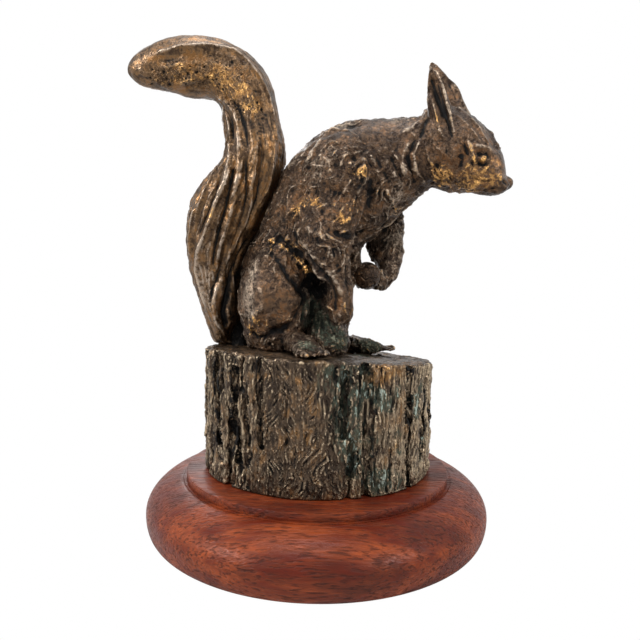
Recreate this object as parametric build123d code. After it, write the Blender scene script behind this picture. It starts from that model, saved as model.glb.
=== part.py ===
from build123d import *
import math
import os

# Squirrel figurine: a bronze squirrel, cast in sections, seated on a hollow bronze tree stump,
# which is bolted to a turned hardwood plinth. Millimetres, +Z up, the origin on the plinth's axis
# at the level of the table. +X is the way the squirrel looks, and -Y is the near side.

# Turned plinth
PLINTH_RADIUS = 96.0
PLINTH_HEIGHT = 27.0
PLINTH_WAIST_HEIGHT = 10.5
PLINTH_UNDERCUT = 4.0
PLINTH_SWELL = 28.0
STEP_RADIUS = 75.0
STEP_RISE = 3.0
STEP_QUIRK_WIDTH = 1.4
STEP_QUIRK_DEPTH = 1.0
BAIZE_MARGIN = 6.0
BAIZE_THICKNESS = 1.6
BAIZE_PROUD = 0.6

# Hollow stump
STUMP_WIDTH = 132.0
STUMP_DEPTH = 122.0
STUMP_HEIGHT = 65.0
STUMP_WALL = 4.5
STUMP_TOP_PLATE = 5.5
STUMP_TOP_SLOPE = 3.0
STUMP_TOP_PITCH = 1.6
STUMP_RIM_ROUND = 2.0
STUMP_FLARE = 1.4
BARK_RELIEF = 3.0
CRACK_WIDTH_SHARE = 0.7
# How deep each bark slab lies below the outline, clockwise from +X, as shares of the relief.
BARK_RELIEF_SHARES = (0.10, 0.45, 0.15, 0.0, 0.30, 0.05, 0.40, 0.2, 0.35, 0.75, 0.45,
                      0.85, 0.25, 0.0, 0.45, 0.1, 0.50, 0.0)
# Cracks between the slabs: turn from the front as a share of a full turn, depth as a share of the
# relief, lean as a share of the crack's length, and the ends as shares of the stump's height.
BARK_CRACK_SHARES = (
    (-0.472, 0.90, 0.05, -0.1, 1.1),
    (-0.425, 0.60, -0.08, 0.1, 0.9),
    (-0.381, 1.00, 0.03, -0.1, 1.1),
    (-0.333, 0.75, -0.04, 0.3, 1.1),
    (-0.292, 0.95, 0.08, -0.1, 0.8),
    (-0.244, 0.80, -0.05, 0.1, 1.1),
    (-0.192, 1.00, 0.04, -0.1, 1.1),
    (-0.144, 1.10, 0.06, 0.3, 1.1),
    (-0.125, 1.00, -0.10, -0.1, 0.55),
    (-0.103, 1.05, 0.08, 0.2, 0.95),
    (-0.069, 0.70, 0.03, 0.35, 1.1),
    (-0.022, 0.40, 0.04, -0.1, 0.6),
    (0.028, 1.00, -0.04, 0.45, 0.95),
    (0.036, 0.80, -0.05, -0.1, 0.45),
    (0.060, 1.10, 0.02, -0.1, 1.1),
    (0.092, 0.45, 0.06, 0.1, 0.7),
    (0.128, 0.70, 0.04, -0.1, 1.1),
    (0.161, 0.80, -0.04, 0.2, 1.1),
    (0.203, 1.00, 0.05, -0.1, 1.1),
    (0.247, 0.80, -0.06, 0.0, 0.9),
    (0.292, 0.95, 0.03, -0.1, 1.1),
    (0.336, 0.70, 0.08, 0.2, 1.1),
    (0.381, 1.00, -0.04, -0.1, 1.1),
    (0.428, 0.75, 0.05, -0.1, 0.8),
)

# Bolts that hold the stump to the plinth
BOLT_COUNT = 3
BOLT_RADIUS = 3.0
BOLT_HOLE_CLEARANCE = 0.3
BOLT_HEAD_WIDTH = 10.0
BOLT_HEAD_HEIGHT = 4.0
BOLT_GRIP = 16.0
BOLT_THREAD_DEPTH = 15.0
BOLT_THREAD_CLEARANCE = 0.05
BOSS_RADIUS = 8.0
BOSS_GAP = 3.0
WASHER_RADIUS = 8.0
WASHER_THICKNESS = 1.6
WASHER_CLEARANCE = 0.4
COUNTERBORE_CLEARANCE = 2.0

# Where the figure sits on the stump
FIGURE_YAW = 18.0
FIGURE_SHIFT = 5.0

# Body casting
BODY_LENGTH = 90.0
BODY_HEIGHT = 117.0
BODY_GIRTH = 38.0
BODY_WIDTH = 28.0
FIGURE_WALL = 4.5
BODY_CORE_SKIP_COUNT = 2
BODY_CORE_COUNT = 6
# Along, up, half thickness and half width of each section, from the rump to the neck.
BODY_SECTION_SHARES = (
    (-0.267, -0.030, 0.42, 0.52),
    (-0.250, 0.110, 0.70, 0.79),
    (-0.228, 0.235, 0.84, 0.90),
    (-0.165, 0.402, 0.91, 0.97),
    (-0.090, 0.572, 0.82, 1.00),
    (0.040, 0.745, 0.88, 1.00),
    (0.135, 0.830, 0.91, 0.99),
    (0.278, 0.893, 0.87, 0.96),
    (0.478, 0.948, 0.70, 0.76),
    (0.640, 0.984, 0.55, 0.62),
    (0.733, 1.004, 0.50, 0.56),
)
# Shoulder blades on the body: where each centre lies, as shares of the length, width and height.
BLADE_PLACE_SHARES = (0.17, 0.72, 0.83)
BLADE_LENGTH = 42.0
BLADE_DEPTH = 24.0
BLADE_HEIGHT = 54.0
BLADE_LEAN = 12.0
# How high each section lies and how large it is.
BLADE_SECTION_SHARES = ((-0.49, 0.20), (-0.40, 0.62), (-0.20, 0.92), (0.02, 1.00), (0.24, 0.88),
                        (0.42, 0.55), (0.49, 0.20))

# Haunches
HAUNCH_HEIGHT = 64.0
HAUNCH_LENGTH = 43.0
HAUNCH_WIDTH = 33.0
HAUNCH_SETBACK = 20.0
HAUNCH_SPREAD = 23.0
HAUNCH_SECTION_SHARES = (
    (-0.12, -0.03, 0.40, 0.45),
    (-0.06, 0.11, 0.72, 0.74),
    (-0.02, 0.30, 0.94, 0.93),
    (0.00, 0.52, 1.00, 1.00),
    (0.03, 0.72, 0.84, 0.88),
    (0.05, 0.88, 0.52, 0.60),
    (0.07, 0.97, 0.18, 0.22),
)

# Hind feet
FOOT_LENGTH = 38.0
FOOT_THICKNESS = 12.0
FOOT_WIDTH = 16.0
NEAR_FOOT_SETBACK = 8.0
NEAR_FOOT_SPREAD = 24.0
NEAR_FOOT_TURN = 52.0
FAR_FOOT_SETBACK = 2.0
FAR_FOOT_SPREAD = 23.0
FAR_FOOT_TURN = 2.0
TOE_COUNT = 4
TOE_RADIUS = 2.4
TOE_LENGTH = 11.0
FOOT_SECTION_SHARES = (
    (-0.06, 0.45, 0.35, 0.40),
    (0.06, 0.48, 0.85, 0.80),
    (0.30, 0.46, 1.00, 1.00),
    (0.58, 0.34, 0.80, 0.95),
    (0.82, 0.22, 0.55, 0.85),
    (0.94, 0.16, 0.25, 0.45),
)

# Forelegs
SHOULDER_ALONG_SHARE = 0.17
SHOULDER_UP_SHARE = 0.86
NEAR_ARM_DROP = 86.0
NEAR_ARM_GIRTH = 20.0
NEAR_ARM_WIDTH = 10.0
NEAR_ARM_SPREAD = 29.0
NEAR_ARM_SECTION_SHARES = (
    (0.00, 0.30, 0.02, 0.80, 0.60),
    (-0.02, 0.72, -0.14, 1.00, 0.90),
    (-0.05, 0.93, -0.35, 0.86, 1.00),
    (-0.01, 1.00, -0.56, 0.58, 0.92),
    (0.035, 0.97, -0.73, 0.43, 0.74),
    (0.055, 0.92, -0.88, 0.36, 0.66),
    (0.055, 0.86, -0.955, 0.24, 0.44),
)
ELBOW_RADIUS = 5.8
WRIST_RADIUS = 4.6
PAW_RADIUS = 6.0
FINGER_RADIUS = 2.2
FINGER_TIP_SHARE = 0.7
FINGER_COUNT = 4
FINGER_FAN_SHARE = 0.8
NEAR_PAW_SIDE_SHARES = (-0.92, -0.18, 0.12)
NEAR_FINGER_SHARES = (0.60, 0.45)
FAR_PAW_SIDE_SHARES = (0.45, 0.85, -0.20)
FAR_FINGER_SHARES = (0.70, -0.30)
FAR_ARM_DROP = 52.0
FAR_ARM_GIRTH = 13.0
FAR_ARM_WIDTH = 9.0
FAR_ARM_SPREAD = 18.0
FAR_ARM_SECTION_SHARES = (
    (0.20, 0.55, 0.02, 0.95, 0.85),
    (0.34, 0.95, -0.26, 0.88, 0.86),
    (0.39, 1.00, -0.56, 0.92, 0.84),
    (0.42, 0.90, -0.79, 0.80, 0.78),
    (0.45, 0.74, -0.95, 0.58, 0.70),
    (0.40, 0.60, -1.07, 0.50, 0.60),
    (0.31, 0.42, -1.13, 0.40, 0.48),
)

# Nut between the forepaws
NUT_RADIUS = 7.9
NUT_ALONG_SHARE = 0.322
NUT_UP_SHARE = 0.389
NUT_NEARER = 2.0

# Head and ears
HEAD_LENGTH = 47.5
HEAD_DEPTH = 23.5
HEAD_WIDTH = 18.5
HEAD_PITCH = 29.0
HEAD_ROLL = 8.0
HEAD_TURN = 8.0
HEAD_SECTION_SHARES = (
    (-0.20, -0.06, 0.82, 0.74),
    (0.02, 0.04, 0.97, 0.92),
    (0.24, 0.08, 0.91, 1.00),
    (0.45, 0.04, 0.79, 0.94),
    (0.645, -0.03, 0.60, 0.72),
    (0.80, -0.12, 0.40, 0.51),
    (0.91, -0.165, 0.235, 0.34),
    (1.00, -0.13, 0.11, 0.15),
)
NEAR_EAR_HEIGHT = 34.0
NEAR_EAR_LEAN = 10.0
NEAR_EAR_WIDTH = 13.4
FAR_EAR_HEIGHT = 49.0
FAR_EAR_LEAN = 18.0
FAR_EAR_WIDTH = 22.5
EAR_THICKNESS = 6.0
EAR_ALONG_SHARE = 0.10
EAR_UP_SHARE = 0.45
EAR_SPREAD_SHARE = 0.66
EAR_SPLAY = 8.0
EAR_SECTION_SHARES = (
    (-0.20, 0.70, 0.80),
    (0.00, 0.96, 1.00),
    (0.24, 1.00, 0.92),
    (0.50, 0.84, 0.76),
    (0.76, 0.54, 0.56),
    (0.92, 0.26, 0.36),
    (1.00, 0.09, 0.20),
)
EYE_RADIUS = 3.4
EYE_ALONG_SHARE = 0.62
EYE_UP_SHARE = 0.22
EYE_SPREAD_SHARE = 0.60
NOSE_RADIUS = 3.0

# Tail: its own casting, which stands behind the body and curls back at the top
TAIL_HEIGHT = 171.0
TAIL_REACH = 67.0
TAIL_THICKNESS = 24.0
TAIL_WIDTH = 23.0
TAIL_SWEEP = 16.0
TAIL_SETBACK = 50.0
TAIL_OFFSET = 16.0
# Back, across, up, half thickness and half width of each section, from the root to the tip.
TAIL_SECTION_SHARES = (
    (-0.03, -0.05, -0.02, 0.25, 0.36),
    (0.13, -0.02, 0.081, 0.45, 0.52),
    (0.182, 0.03, 0.182, 0.55, 0.68),
    (0.227, 0.08, 0.301, 0.68, 0.80),
    (0.191, 0.10, 0.406, 0.87, 0.94),
    (0.124, 0.14, 0.497, 0.96, 1.00),
    (-0.040, 0.20, 0.599, 0.86, 1.00),
    (-0.130, 0.28, 0.711, 0.765, 0.92),
    (-0.085, 0.36, 0.813, 0.74, 0.84),
    (-0.030, 0.44, 0.912, 0.73, 0.82),
    (0.210, 0.58, 0.990, 0.71, 0.80),
    (0.493, 0.72, 0.996, 0.71, 0.76),
    (0.694, 0.85, 0.989, 0.57, 0.60),
    (0.851, 0.94, 0.975, 0.43, 0.46),
    (0.948, 0.99, 0.970, 0.26, 0.28),
    (0.997, 1.00, 0.969, 0.09, 0.10),
)
TAIL_CORE_SKIP_COUNT = 3
TAIL_CORE_COUNT = 10

# Studs and dowels that hold the sections
STUD_RADIUS = 2.5
STUD_ANCHOR = 14.0
STUD_DROP = 16.0
STUD_SPACING = 17.0
STUD_CLEARANCE = 0.3
STUD_NUT_WIDTH = 8.0
STUD_NUT_HEIGHT = 4.0
STUD_WASHER_RADIUS = 6.0
STUD_WASHER_THICKNESS = 1.2
TAIL_DOWEL_SECTION = 5
DOWEL_RADIUS = 3.0
DOWEL_LENGTH = 22.0
DOWEL_CLEARANCE = 0.05

OVERRUN = 2.0
QUARTER_TURN = 90

BASE = (Align.CENTER, Align.CENTER, Align.MIN)
TOP = (Align.CENTER, Align.CENTER, Align.MAX)

# Worked out from the sizes above
deck_z = PLINTH_HEIGHT + STEP_RISE
seat_z = deck_z + STUMP_HEIGHT
seat = Plane(Location((0, 0, seat_z), (-STUMP_TOP_PITCH, STUMP_TOP_SLOPE, 0)))
figure = Location((0, FIGURE_SHIFT, seat_z)) * Rotation(0, 0, -FIGURE_YAW)
baize_radius = PLINTH_RADIUS - PLINTH_UNDERCUT - BAIZE_MARGIN
half_stump = min(STUMP_WIDTH, STUMP_DEPTH) / 2
bolt_circle_radius = half_stump - BARK_RELIEF - STUMP_WALL - BOSS_GAP - BOSS_RADIUS
bolt_seat_z = deck_z - BOLT_GRIP
counterbore_radius = max(WASHER_RADIUS, BOLT_HEAD_WIDTH / math.sqrt(3)) + COUNTERBORE_CLEARANCE


def seat_level(x, y):
    """The height of the stump's sloping top over a point of the plan."""
    normal = seat.z_dir
    return seat_z - (x * normal.X + y * normal.Y) / normal.Z


def largest(shape):
    """The one solid that is left when a cut sheds slivers."""
    return Part(max(shape.solids(), key=lambda s: s.volume).wrapped)


def cut_by(shape, *others):
    """The shape where its larger neighbours are not, so that the two meet face to face."""
    for other in others:
        shape = shape - other
    return largest(shape)


def above_seat(shape):
    """The part of a shape that stands above the sloping top of the stump."""
    return largest(split(shape, bisect_by=seat, keep=Keep.TOP))


def lofted(stations, side=(0, 1, 0)):
    """A smooth solid through ellipses set square to the line of their centres.

    Each station is (x, y, z, half thickness, half width), and the width lies along side.
    """
    centres = [Vector(*station[:3]) for station in stations]
    sections = []
    for i, (_, _, _, thick, wide) in enumerate(stations):
        ahead = centres[min(i + 1, len(centres) - 1)]
        behind = centres[max(i - 1, 0)]
        along = (ahead - behind).normalized()
        across = (Vector(*side) - along * Vector(*side).dot(along)).normalized()
        plane = Plane(origin=centres[i], x_dir=across, z_dir=along)
        sections.append(plane * Ellipse(wide, thick))
    return loft(sections)


def core(stations, skip_count, count):
    """The hollow inside a casting: some of its sections, one wall thinner all round."""
    return lofted(
        [
            (x, y, z, thick - FIGURE_WALL, wide - FIGURE_WALL)
            for x, y, z, thick, wide in stations[skip_count : skip_count + count]
        ]
    )


def polar(radius, angle):
    """A point at a radius and an angle in degrees."""
    return radius * math.cos(math.radians(angle)), radius * math.sin(math.radians(angle))


def plinth():
    """The turned base: a bullnose with a low step on top and a quirk round the step."""
    quirk_radius = STEP_RADIUS + STEP_QUIRK_WIDTH
    shoulder_z = PLINTH_HEIGHT - STEP_QUIRK_DEPTH
    foot_z = BAIZE_PROUD
    waist = PLINTH_WAIST_HEIGHT
    middle_radius = PLINTH_RADIUS - PLINTH_SWELL
    foot_radius = PLINTH_RADIUS - PLINTH_UNDERCUT
    reach = math.degrees(math.acos((quirk_radius - middle_radius) / PLINTH_SWELL))
    upper = EllipticalCenterArc(
        (middle_radius, waist), PLINTH_SWELL, PLINTH_HEIGHT - waist, arc_size=reach
    )
    lower = EllipticalCenterArc(
        (foot_radius, waist),
        PLINTH_UNDERCUT,
        waist - foot_z,
        start_angle=-QUARTER_TURN,
        arc_size=QUARTER_TURN,
    )
    outline = [
        lower,
        upper,
        Polyline(
            upper @ 1,
            (quirk_radius, shoulder_z),
            (STEP_RADIUS, shoulder_z),
            (STEP_RADIUS, deck_z),
            (0, deck_z),
            (0, foot_z),
            (foot_radius, foot_z),
        ),
    ]
    body = revolve(Plane.XZ * make_face(outline), Axis.Z)
    recess = Cylinder(baize_radius, BAIZE_THICKNESS, align=BASE)
    body -= recess
    for x, y in bolt_places():
        shank = Cylinder(BOLT_RADIUS + BOLT_HOLE_CLEARANCE, deck_z + OVERRUN, align=BASE)
        bore = Cylinder(counterbore_radius, bolt_seat_z, align=BASE)
        body -= Pos(x, y, 0) * (shank + bore)
    return body


def bolt_places():
    """The centres of the plinth bolts, evenly spaced with one at the back."""
    return [polar(bolt_circle_radius, QUARTER_TURN + i * 360 / BOLT_COUNT) for i in range(BOLT_COUNT)]


def baize():
    """The cloth disc let into the underside, on which the figurine stands."""
    return Cylinder(baize_radius, BAIZE_THICKNESS, align=BASE)


def plinth_bolts():
    """Hexagon bolts that come up through the plinth into the bosses."""
    head = extrude(RegularPolygon(BOLT_HEAD_WIDTH / 2, 6, major_radius=False), BOLT_HEAD_HEIGHT)
    head_z = bolt_seat_z - WASHER_THICKNESS - BOLT_HEAD_HEIGHT
    length = BOLT_HEAD_HEIGHT + WASHER_THICKNESS + BOLT_GRIP + BOLT_THREAD_DEPTH
    bolt = head + Cylinder(BOLT_RADIUS, length, align=BASE)
    return [Pos(x, y, head_z) * bolt for x, y in bolt_places()]


def plinth_washers():
    """Flat washers between the bolt heads and the wood."""
    ring = Cylinder(WASHER_RADIUS, WASHER_THICKNESS, align=BASE)
    ring -= Cylinder(BOLT_RADIUS + WASHER_CLEARANCE, WASHER_THICKNESS, align=BASE)
    return [Pos(x, y, bolt_seat_z - WASHER_THICKNESS) * ring for x, y in bolt_places()]


def stump_shell():
    """The hollow stump: bark slabs round an open-bottomed wall under a sloping top plate."""
    count = len(BARK_RELIEF_SHARES)
    points = []
    for i, share in enumerate(BARK_RELIEF_SHARES):
        angle = math.radians(-i * 360 / count)
        sunk = BARK_RELIEF * share
        points.append(
            ((STUMP_WIDTH / 2 - sunk) * math.cos(angle), (STUMP_DEPTH / 2 - sunk) * math.sin(angle))
        )
    outline = make_face(Spline(*points, periodic=True))
    rise = STUMP_HEIGHT * 2
    block = Pos(0, 0, deck_z) * extrude(outline, rise, taper=-STUMP_FLARE)
    block = largest(split(block, bisect_by=seat, keep=Keep.BOTTOM))
    block = fillet(block.faces().sort_by(Axis.Z)[-1].edges(), STUMP_RIM_ROUND)
    for shares in BARK_CRACK_SHARES:
        block = largest(block - bark_crack(*shares))
    inset = BARK_RELIEF + STUMP_WALL
    hollow = extrude(Ellipse(STUMP_WIDTH / 2 - inset, STUMP_DEPTH / 2 - inset), rise)
    hollow = Pos(0, 0, deck_z) * hollow
    ceiling = seat.offset(-STUMP_TOP_PLATE)
    hollow = largest(split(hollow, bisect_by=ceiling, keep=Keep.BOTTOM))
    shell = block - hollow
    for place in stud_places():
        shell -= place * Cylinder(STUD_RADIUS + STUD_CLEARANCE, STUMP_TOP_PLATE + OVERRUN, align=TOP)
    return shell


def bark_crack(turn, depth, lean, low, high):
    """The cutter for one upright crack in the bark."""
    angle = 2 * math.pi * turn
    sunk = BARK_RELIEF / 2
    x = (STUMP_WIDTH / 2 - sunk) * math.sin(angle)
    y = -(STUMP_DEPTH / 2 - sunk) * math.cos(angle)
    bite = BARK_RELIEF * depth
    height = (high - low) * STUMP_HEIGHT
    cutter = extrude(Ellipse(bite, bite * CRACK_WIDTH_SHARE), height)
    tilt = Rotation(math.degrees(math.atan(lean)), STUMP_FLARE, 0)
    facing = math.degrees(math.atan2(y, x))
    return Pos(x, y, deck_z + low * STUMP_HEIGHT) * Rotation(0, 0, facing) * tilt * cutter


def stump_bosses():
    """Posts inside the stump, tapped for the plinth bolts, that reach up to the top plate."""
    ceiling = seat.offset(-STUMP_TOP_PLATE)
    bosses = []
    for x, y in bolt_places():
        post = Pos(x, y, deck_z) * Cylinder(BOSS_RADIUS, STUMP_HEIGHT * 2, align=BASE)
        post = largest(split(post, bisect_by=ceiling, keep=Keep.BOTTOM))
        tapped = Cylinder(
            BOLT_RADIUS + BOLT_THREAD_CLEARANCE, BOLT_THREAD_DEPTH + OVERRUN, align=BASE
        )
        bosses.append(post - Pos(x, y, deck_z) * tapped)
    return bosses


def torso():
    """The body casting, from the rump up over the shoulders to the neck."""
    stations = [
        (along * BODY_LENGTH, 0, up * BODY_HEIGHT, thick * BODY_GIRTH, wide * BODY_WIDTH)
        for along, up, thick, wide in BODY_SECTION_SHARES
    ]
    body = lofted(stations)
    for hand in (-1, 1):
        body += shoulder_blade(hand)
    return above_seat(figure * (body - core(stations, BODY_CORE_SKIP_COUNT, BODY_CORE_COUNT)))


def shoulder_blade(hand):
    """The swell of one shoulder blade, a leaning egg. Hand is -1 for near."""
    along, out, up = BLADE_PLACE_SHARES
    egg = lofted(
        [
            (0, 0, level * BLADE_HEIGHT, size * BLADE_LENGTH / 2, size * BLADE_DEPTH / 2)
            for level, size in BLADE_SECTION_SHARES
        ]
    )
    place = Pos(along * BODY_LENGTH, hand * out * BODY_WIDTH, up * BODY_HEIGHT)
    return place * Rotation(0, BLADE_LEAN, 0) * egg


def haunch(hand):
    """One folded thigh, an egg that swells out of the side of the body. Hand is -1 for near."""
    stations = [
        (
            along * HAUNCH_LENGTH - HAUNCH_SETBACK,
            hand * HAUNCH_SPREAD,
            up * HAUNCH_HEIGHT,
            thick * HAUNCH_LENGTH / 2,
            wide * HAUNCH_WIDTH / 2,
        )
        for along, up, thick, wide in HAUNCH_SECTION_SHARES
    ]
    return above_seat(figure * lofted(stations))


def hind_foot(along, across, turn):
    """A long hind foot with its toes, flat on the stump."""
    stations = [
        (
            out * FOOT_LENGTH,
            0,
            up * FOOT_THICKNESS,
            thick * FOOT_THICKNESS / 2,
            wide * FOOT_WIDTH / 2,
        )
        for out, up, thick, wide in FOOT_SECTION_SHARES
    ]
    foot = lofted(stations)
    pitch = FOOT_WIDTH / TOE_COUNT
    for i in range(TOE_COUNT):
        offset = (i - (TOE_COUNT - 1) / 2) * pitch
        root = (FOOT_LENGTH - TOE_LENGTH / 2, offset, TOE_RADIUS)
        toe = Pos(*root) * Rotation(0, 90, 0) * Cone(TOE_RADIUS, TOE_RADIUS / 2, TOE_LENGTH, align=BASE)
        foot += toe
    heel = figure * Location((along, across, 0))
    spot = heel.position
    sole = Location((0, 0, seat_level(spot.X, spot.Y) - seat_z))
    return above_seat(sole * heel * Rotation(0, 0, turn) * foot)


def foreleg_stations(shares, drop, girth, width, spread, hand):
    """The sections of an upper foreleg, hung from the shoulder."""
    x = SHOULDER_ALONG_SHARE * BODY_LENGTH
    z = SHOULDER_UP_SHARE * BODY_HEIGHT
    return [
        (
            x + along * drop,
            hand * out * spread,
            z + down * drop,
            thick * girth,
            wide * width,
        )
        for along, out, down, thick, wide in shares
    ]


def nut_centre():
    """The middle of the nut in the figure's own frame."""
    return Vector(NUT_ALONG_SHARE * BODY_LENGTH, -NUT_NEARER, NUT_UP_SHARE * BODY_HEIGHT)


def paw(side, bend):
    """A forepaw laid against one side of the nut, with its fingers bent round the shell."""
    toward = Vector(*side).normalized()
    palm = nut_centre() + toward * (NUT_RADIUS + PAW_RADIUS / 2)
    shape = Pos(*palm) * Sphere(PAW_RADIUS)
    for i in range(FINGER_COUNT):
        fan = FINGER_FAN_SHARE * (2 * i / (FINGER_COUNT - 1) - 1)
        reach = (toward + Vector(*bend, fan)).normalized()
        tip = nut_centre() + reach * (NUT_RADIUS + FINGER_RADIUS / 2)
        shape += tapered_rod(palm, tip, FINGER_RADIUS, FINGER_RADIUS * FINGER_TIP_SHARE)
    return shape


def tapered_rod(start, end, start_radius, end_radius):
    """A round rod from one point to another that grows thinner on its way."""
    run = end - start
    cone = Cone(start_radius, end_radius, run.length, align=BASE)
    return Plane(origin=start, z_dir=run).location * cone


def near_foreleg():
    """The near foreleg: it hangs to the elbow and folds back up to the nut."""
    upper = foreleg_stations(
        NEAR_ARM_SECTION_SHARES, NEAR_ARM_DROP, NEAR_ARM_GIRTH, NEAR_ARM_WIDTH, NEAR_ARM_SPREAD, -1
    )
    elbow = Vector(*upper[-2][:3])
    palm_side = Vector(*NEAR_PAW_SIDE_SHARES).normalized()
    wrist = nut_centre() + palm_side * (NUT_RADIUS + PAW_RADIUS / 2)
    forearm = tapered_rod(elbow, wrist, ELBOW_RADIUS, WRIST_RADIUS)
    return figure * (lofted(upper) + forearm + paw(NEAR_PAW_SIDE_SHARES, NEAR_FINGER_SHARES))


def far_foreleg():
    """The far foreleg, bent forward at the elbow and back in to the nut."""
    upper = foreleg_stations(
        FAR_ARM_SECTION_SHARES, FAR_ARM_DROP, FAR_ARM_GIRTH, FAR_ARM_WIDTH, FAR_ARM_SPREAD, 1
    )
    return figure * (lofted(upper) + paw(FAR_PAW_SIDE_SHARES, FAR_FINGER_SHARES))


def nut():
    """The nut held between the paws."""
    return figure * Pos(*nut_centre()) * Sphere(NUT_RADIUS)


def head_place():
    """The head's own frame: its origin at the end of the neck, +X along the muzzle."""
    along, up = BODY_SECTION_SHARES[-1][:2]
    return (
        figure
        * Location((along * BODY_LENGTH, 0, up * BODY_HEIGHT))
        * Rotation(0, 0, -HEAD_TURN)
        * Rotation(0, HEAD_PITCH, 0)
        * Rotation(HEAD_ROLL, 0, 0)
    )


def head():
    """The head casting, from the nape to the nose."""
    stations = [
        (along * HEAD_LENGTH, 0, up * HEAD_DEPTH, thick * HEAD_DEPTH, wide * HEAD_WIDTH)
        for along, up, thick, wide in HEAD_SECTION_SHARES
    ]
    skull = lofted(stations)
    for hand in (-1, 1):
        spot = (EYE_ALONG_SHARE * HEAD_LENGTH, EYE_SPREAD_SHARE * HEAD_WIDTH, EYE_UP_SHARE * HEAD_DEPTH)
        skull += Pos(spot[0], hand * spot[1], spot[2]) * Sphere(EYE_RADIUS)
    tip = stations[-2]
    skull += Pos(tip[0], 0, tip[2]) * Sphere(NOSE_RADIUS)
    return head_place() * skull


def ear(hand, height, width, lean):
    """One leaf-shaped ear, set into the side of the head."""
    stations = [
        (0, 0, up * height, wide * width / 2, thick * EAR_THICKNESS / 2)
        for up, wide, thick in EAR_SECTION_SHARES
    ]
    place = (
        head_place()
        * Location(
            (
                EAR_ALONG_SHARE * HEAD_LENGTH,
                hand * EAR_SPREAD_SHARE * HEAD_WIDTH,
                EAR_UP_SHARE * HEAD_DEPTH,
            )
        )
        * Rotation(-hand * EAR_SPLAY, -HEAD_PITCH - lean, 0)
    )
    return place * lofted(stations)


def tail():
    """The tail casting: it climbs behind the back, bends over and ends in a blunt curl."""
    stations = [
        (
            -TAIL_SETBACK - back * TAIL_REACH,
            TAIL_OFFSET - across * TAIL_SWEEP,
            seat_z + up * TAIL_HEIGHT,
            thick * TAIL_THICKNESS,
            wide * TAIL_WIDTH,
        )
        for back, across, up, thick, wide in TAIL_SECTION_SHARES
    ]
    return above_seat(lofted(stations) - core(stations, TAIL_CORE_SKIP_COUNT, TAIL_CORE_COUNT))


def stud_places():
    """Places of the studs under the body, square to the top of the stump."""
    x = BODY_SECTION_SHARES[0][0] * BODY_LENGTH
    yaw = math.radians(FIGURE_YAW)
    places = []
    for side in (-1, 1):
        along = x + side * STUD_SPACING / 2
        places.append(
            seat.location * Location((along * math.cos(yaw), FIGURE_SHIFT - along * math.sin(yaw), 0))
        )
    return places


def figure_studs():
    """Threaded studs let into the body, which pass down through the stump's top plate."""
    rod = Pos(0, 0, STUD_ANCHOR) * Cylinder(
        STUD_RADIUS, STUD_ANCHOR + STUMP_TOP_PLATE + STUD_DROP, align=TOP
    )
    return [place * rod for place in stud_places()]


def stud_washers():
    """Washers under the top plate."""
    ring = Cylinder(STUD_WASHER_RADIUS, STUD_WASHER_THICKNESS, align=TOP)
    ring -= Cylinder(STUD_RADIUS + STUD_CLEARANCE, STUD_WASHER_THICKNESS, align=TOP)
    return [place * Pos(0, 0, -STUMP_TOP_PLATE) * ring for place in stud_places()]


def stud_nuts():
    """Hexagon nuts that draw the figure down on the stump."""
    hexagon = extrude(RegularPolygon(STUD_NUT_WIDTH / 2, 6, major_radius=False), -STUD_NUT_HEIGHT)
    hexagon -= Cylinder(STUD_RADIUS + DOWEL_CLEARANCE, STUD_NUT_HEIGHT, align=TOP)
    drop = STUMP_TOP_PLATE + STUD_WASHER_THICKNESS
    return [place * Pos(0, 0, -drop) * hexagon for place in stud_places()]


def dowel(place):
    """A plain pin centred on a place, along its +Z."""
    return place * Cylinder(DOWEL_RADIUS, DOWEL_LENGTH)


def dowel_hole(place):
    """The hole for a dowel."""
    return place * Cylinder(DOWEL_RADIUS + DOWEL_CLEARANCE, DOWEL_LENGTH + DOWEL_CLEARANCE)


def neck_place():
    """Middle of the neck dowel, on the joint between neck and head."""
    return head_place() * Rotation(0, 90, 0)


def tail_place():
    """Middle of the tail dowel, level through the joint between the rump and the tail."""
    along, up, thick, _ = BODY_SECTION_SHARES[TAIL_DOWEL_SECTION]
    back = thick * BODY_GIRTH
    return (
        figure
        * Location((along * BODY_LENGTH - back, 0, up * BODY_HEIGHT))
        * Rotation(0, 90, 0)
    )


def export(name, shape):
    """Write one node."""
    solids = shape if isinstance(shape, list) else [shape]
    export_step(Compound(children=[Part(s.wrapped) for s in solids]), f"parts/{name}.step")


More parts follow.
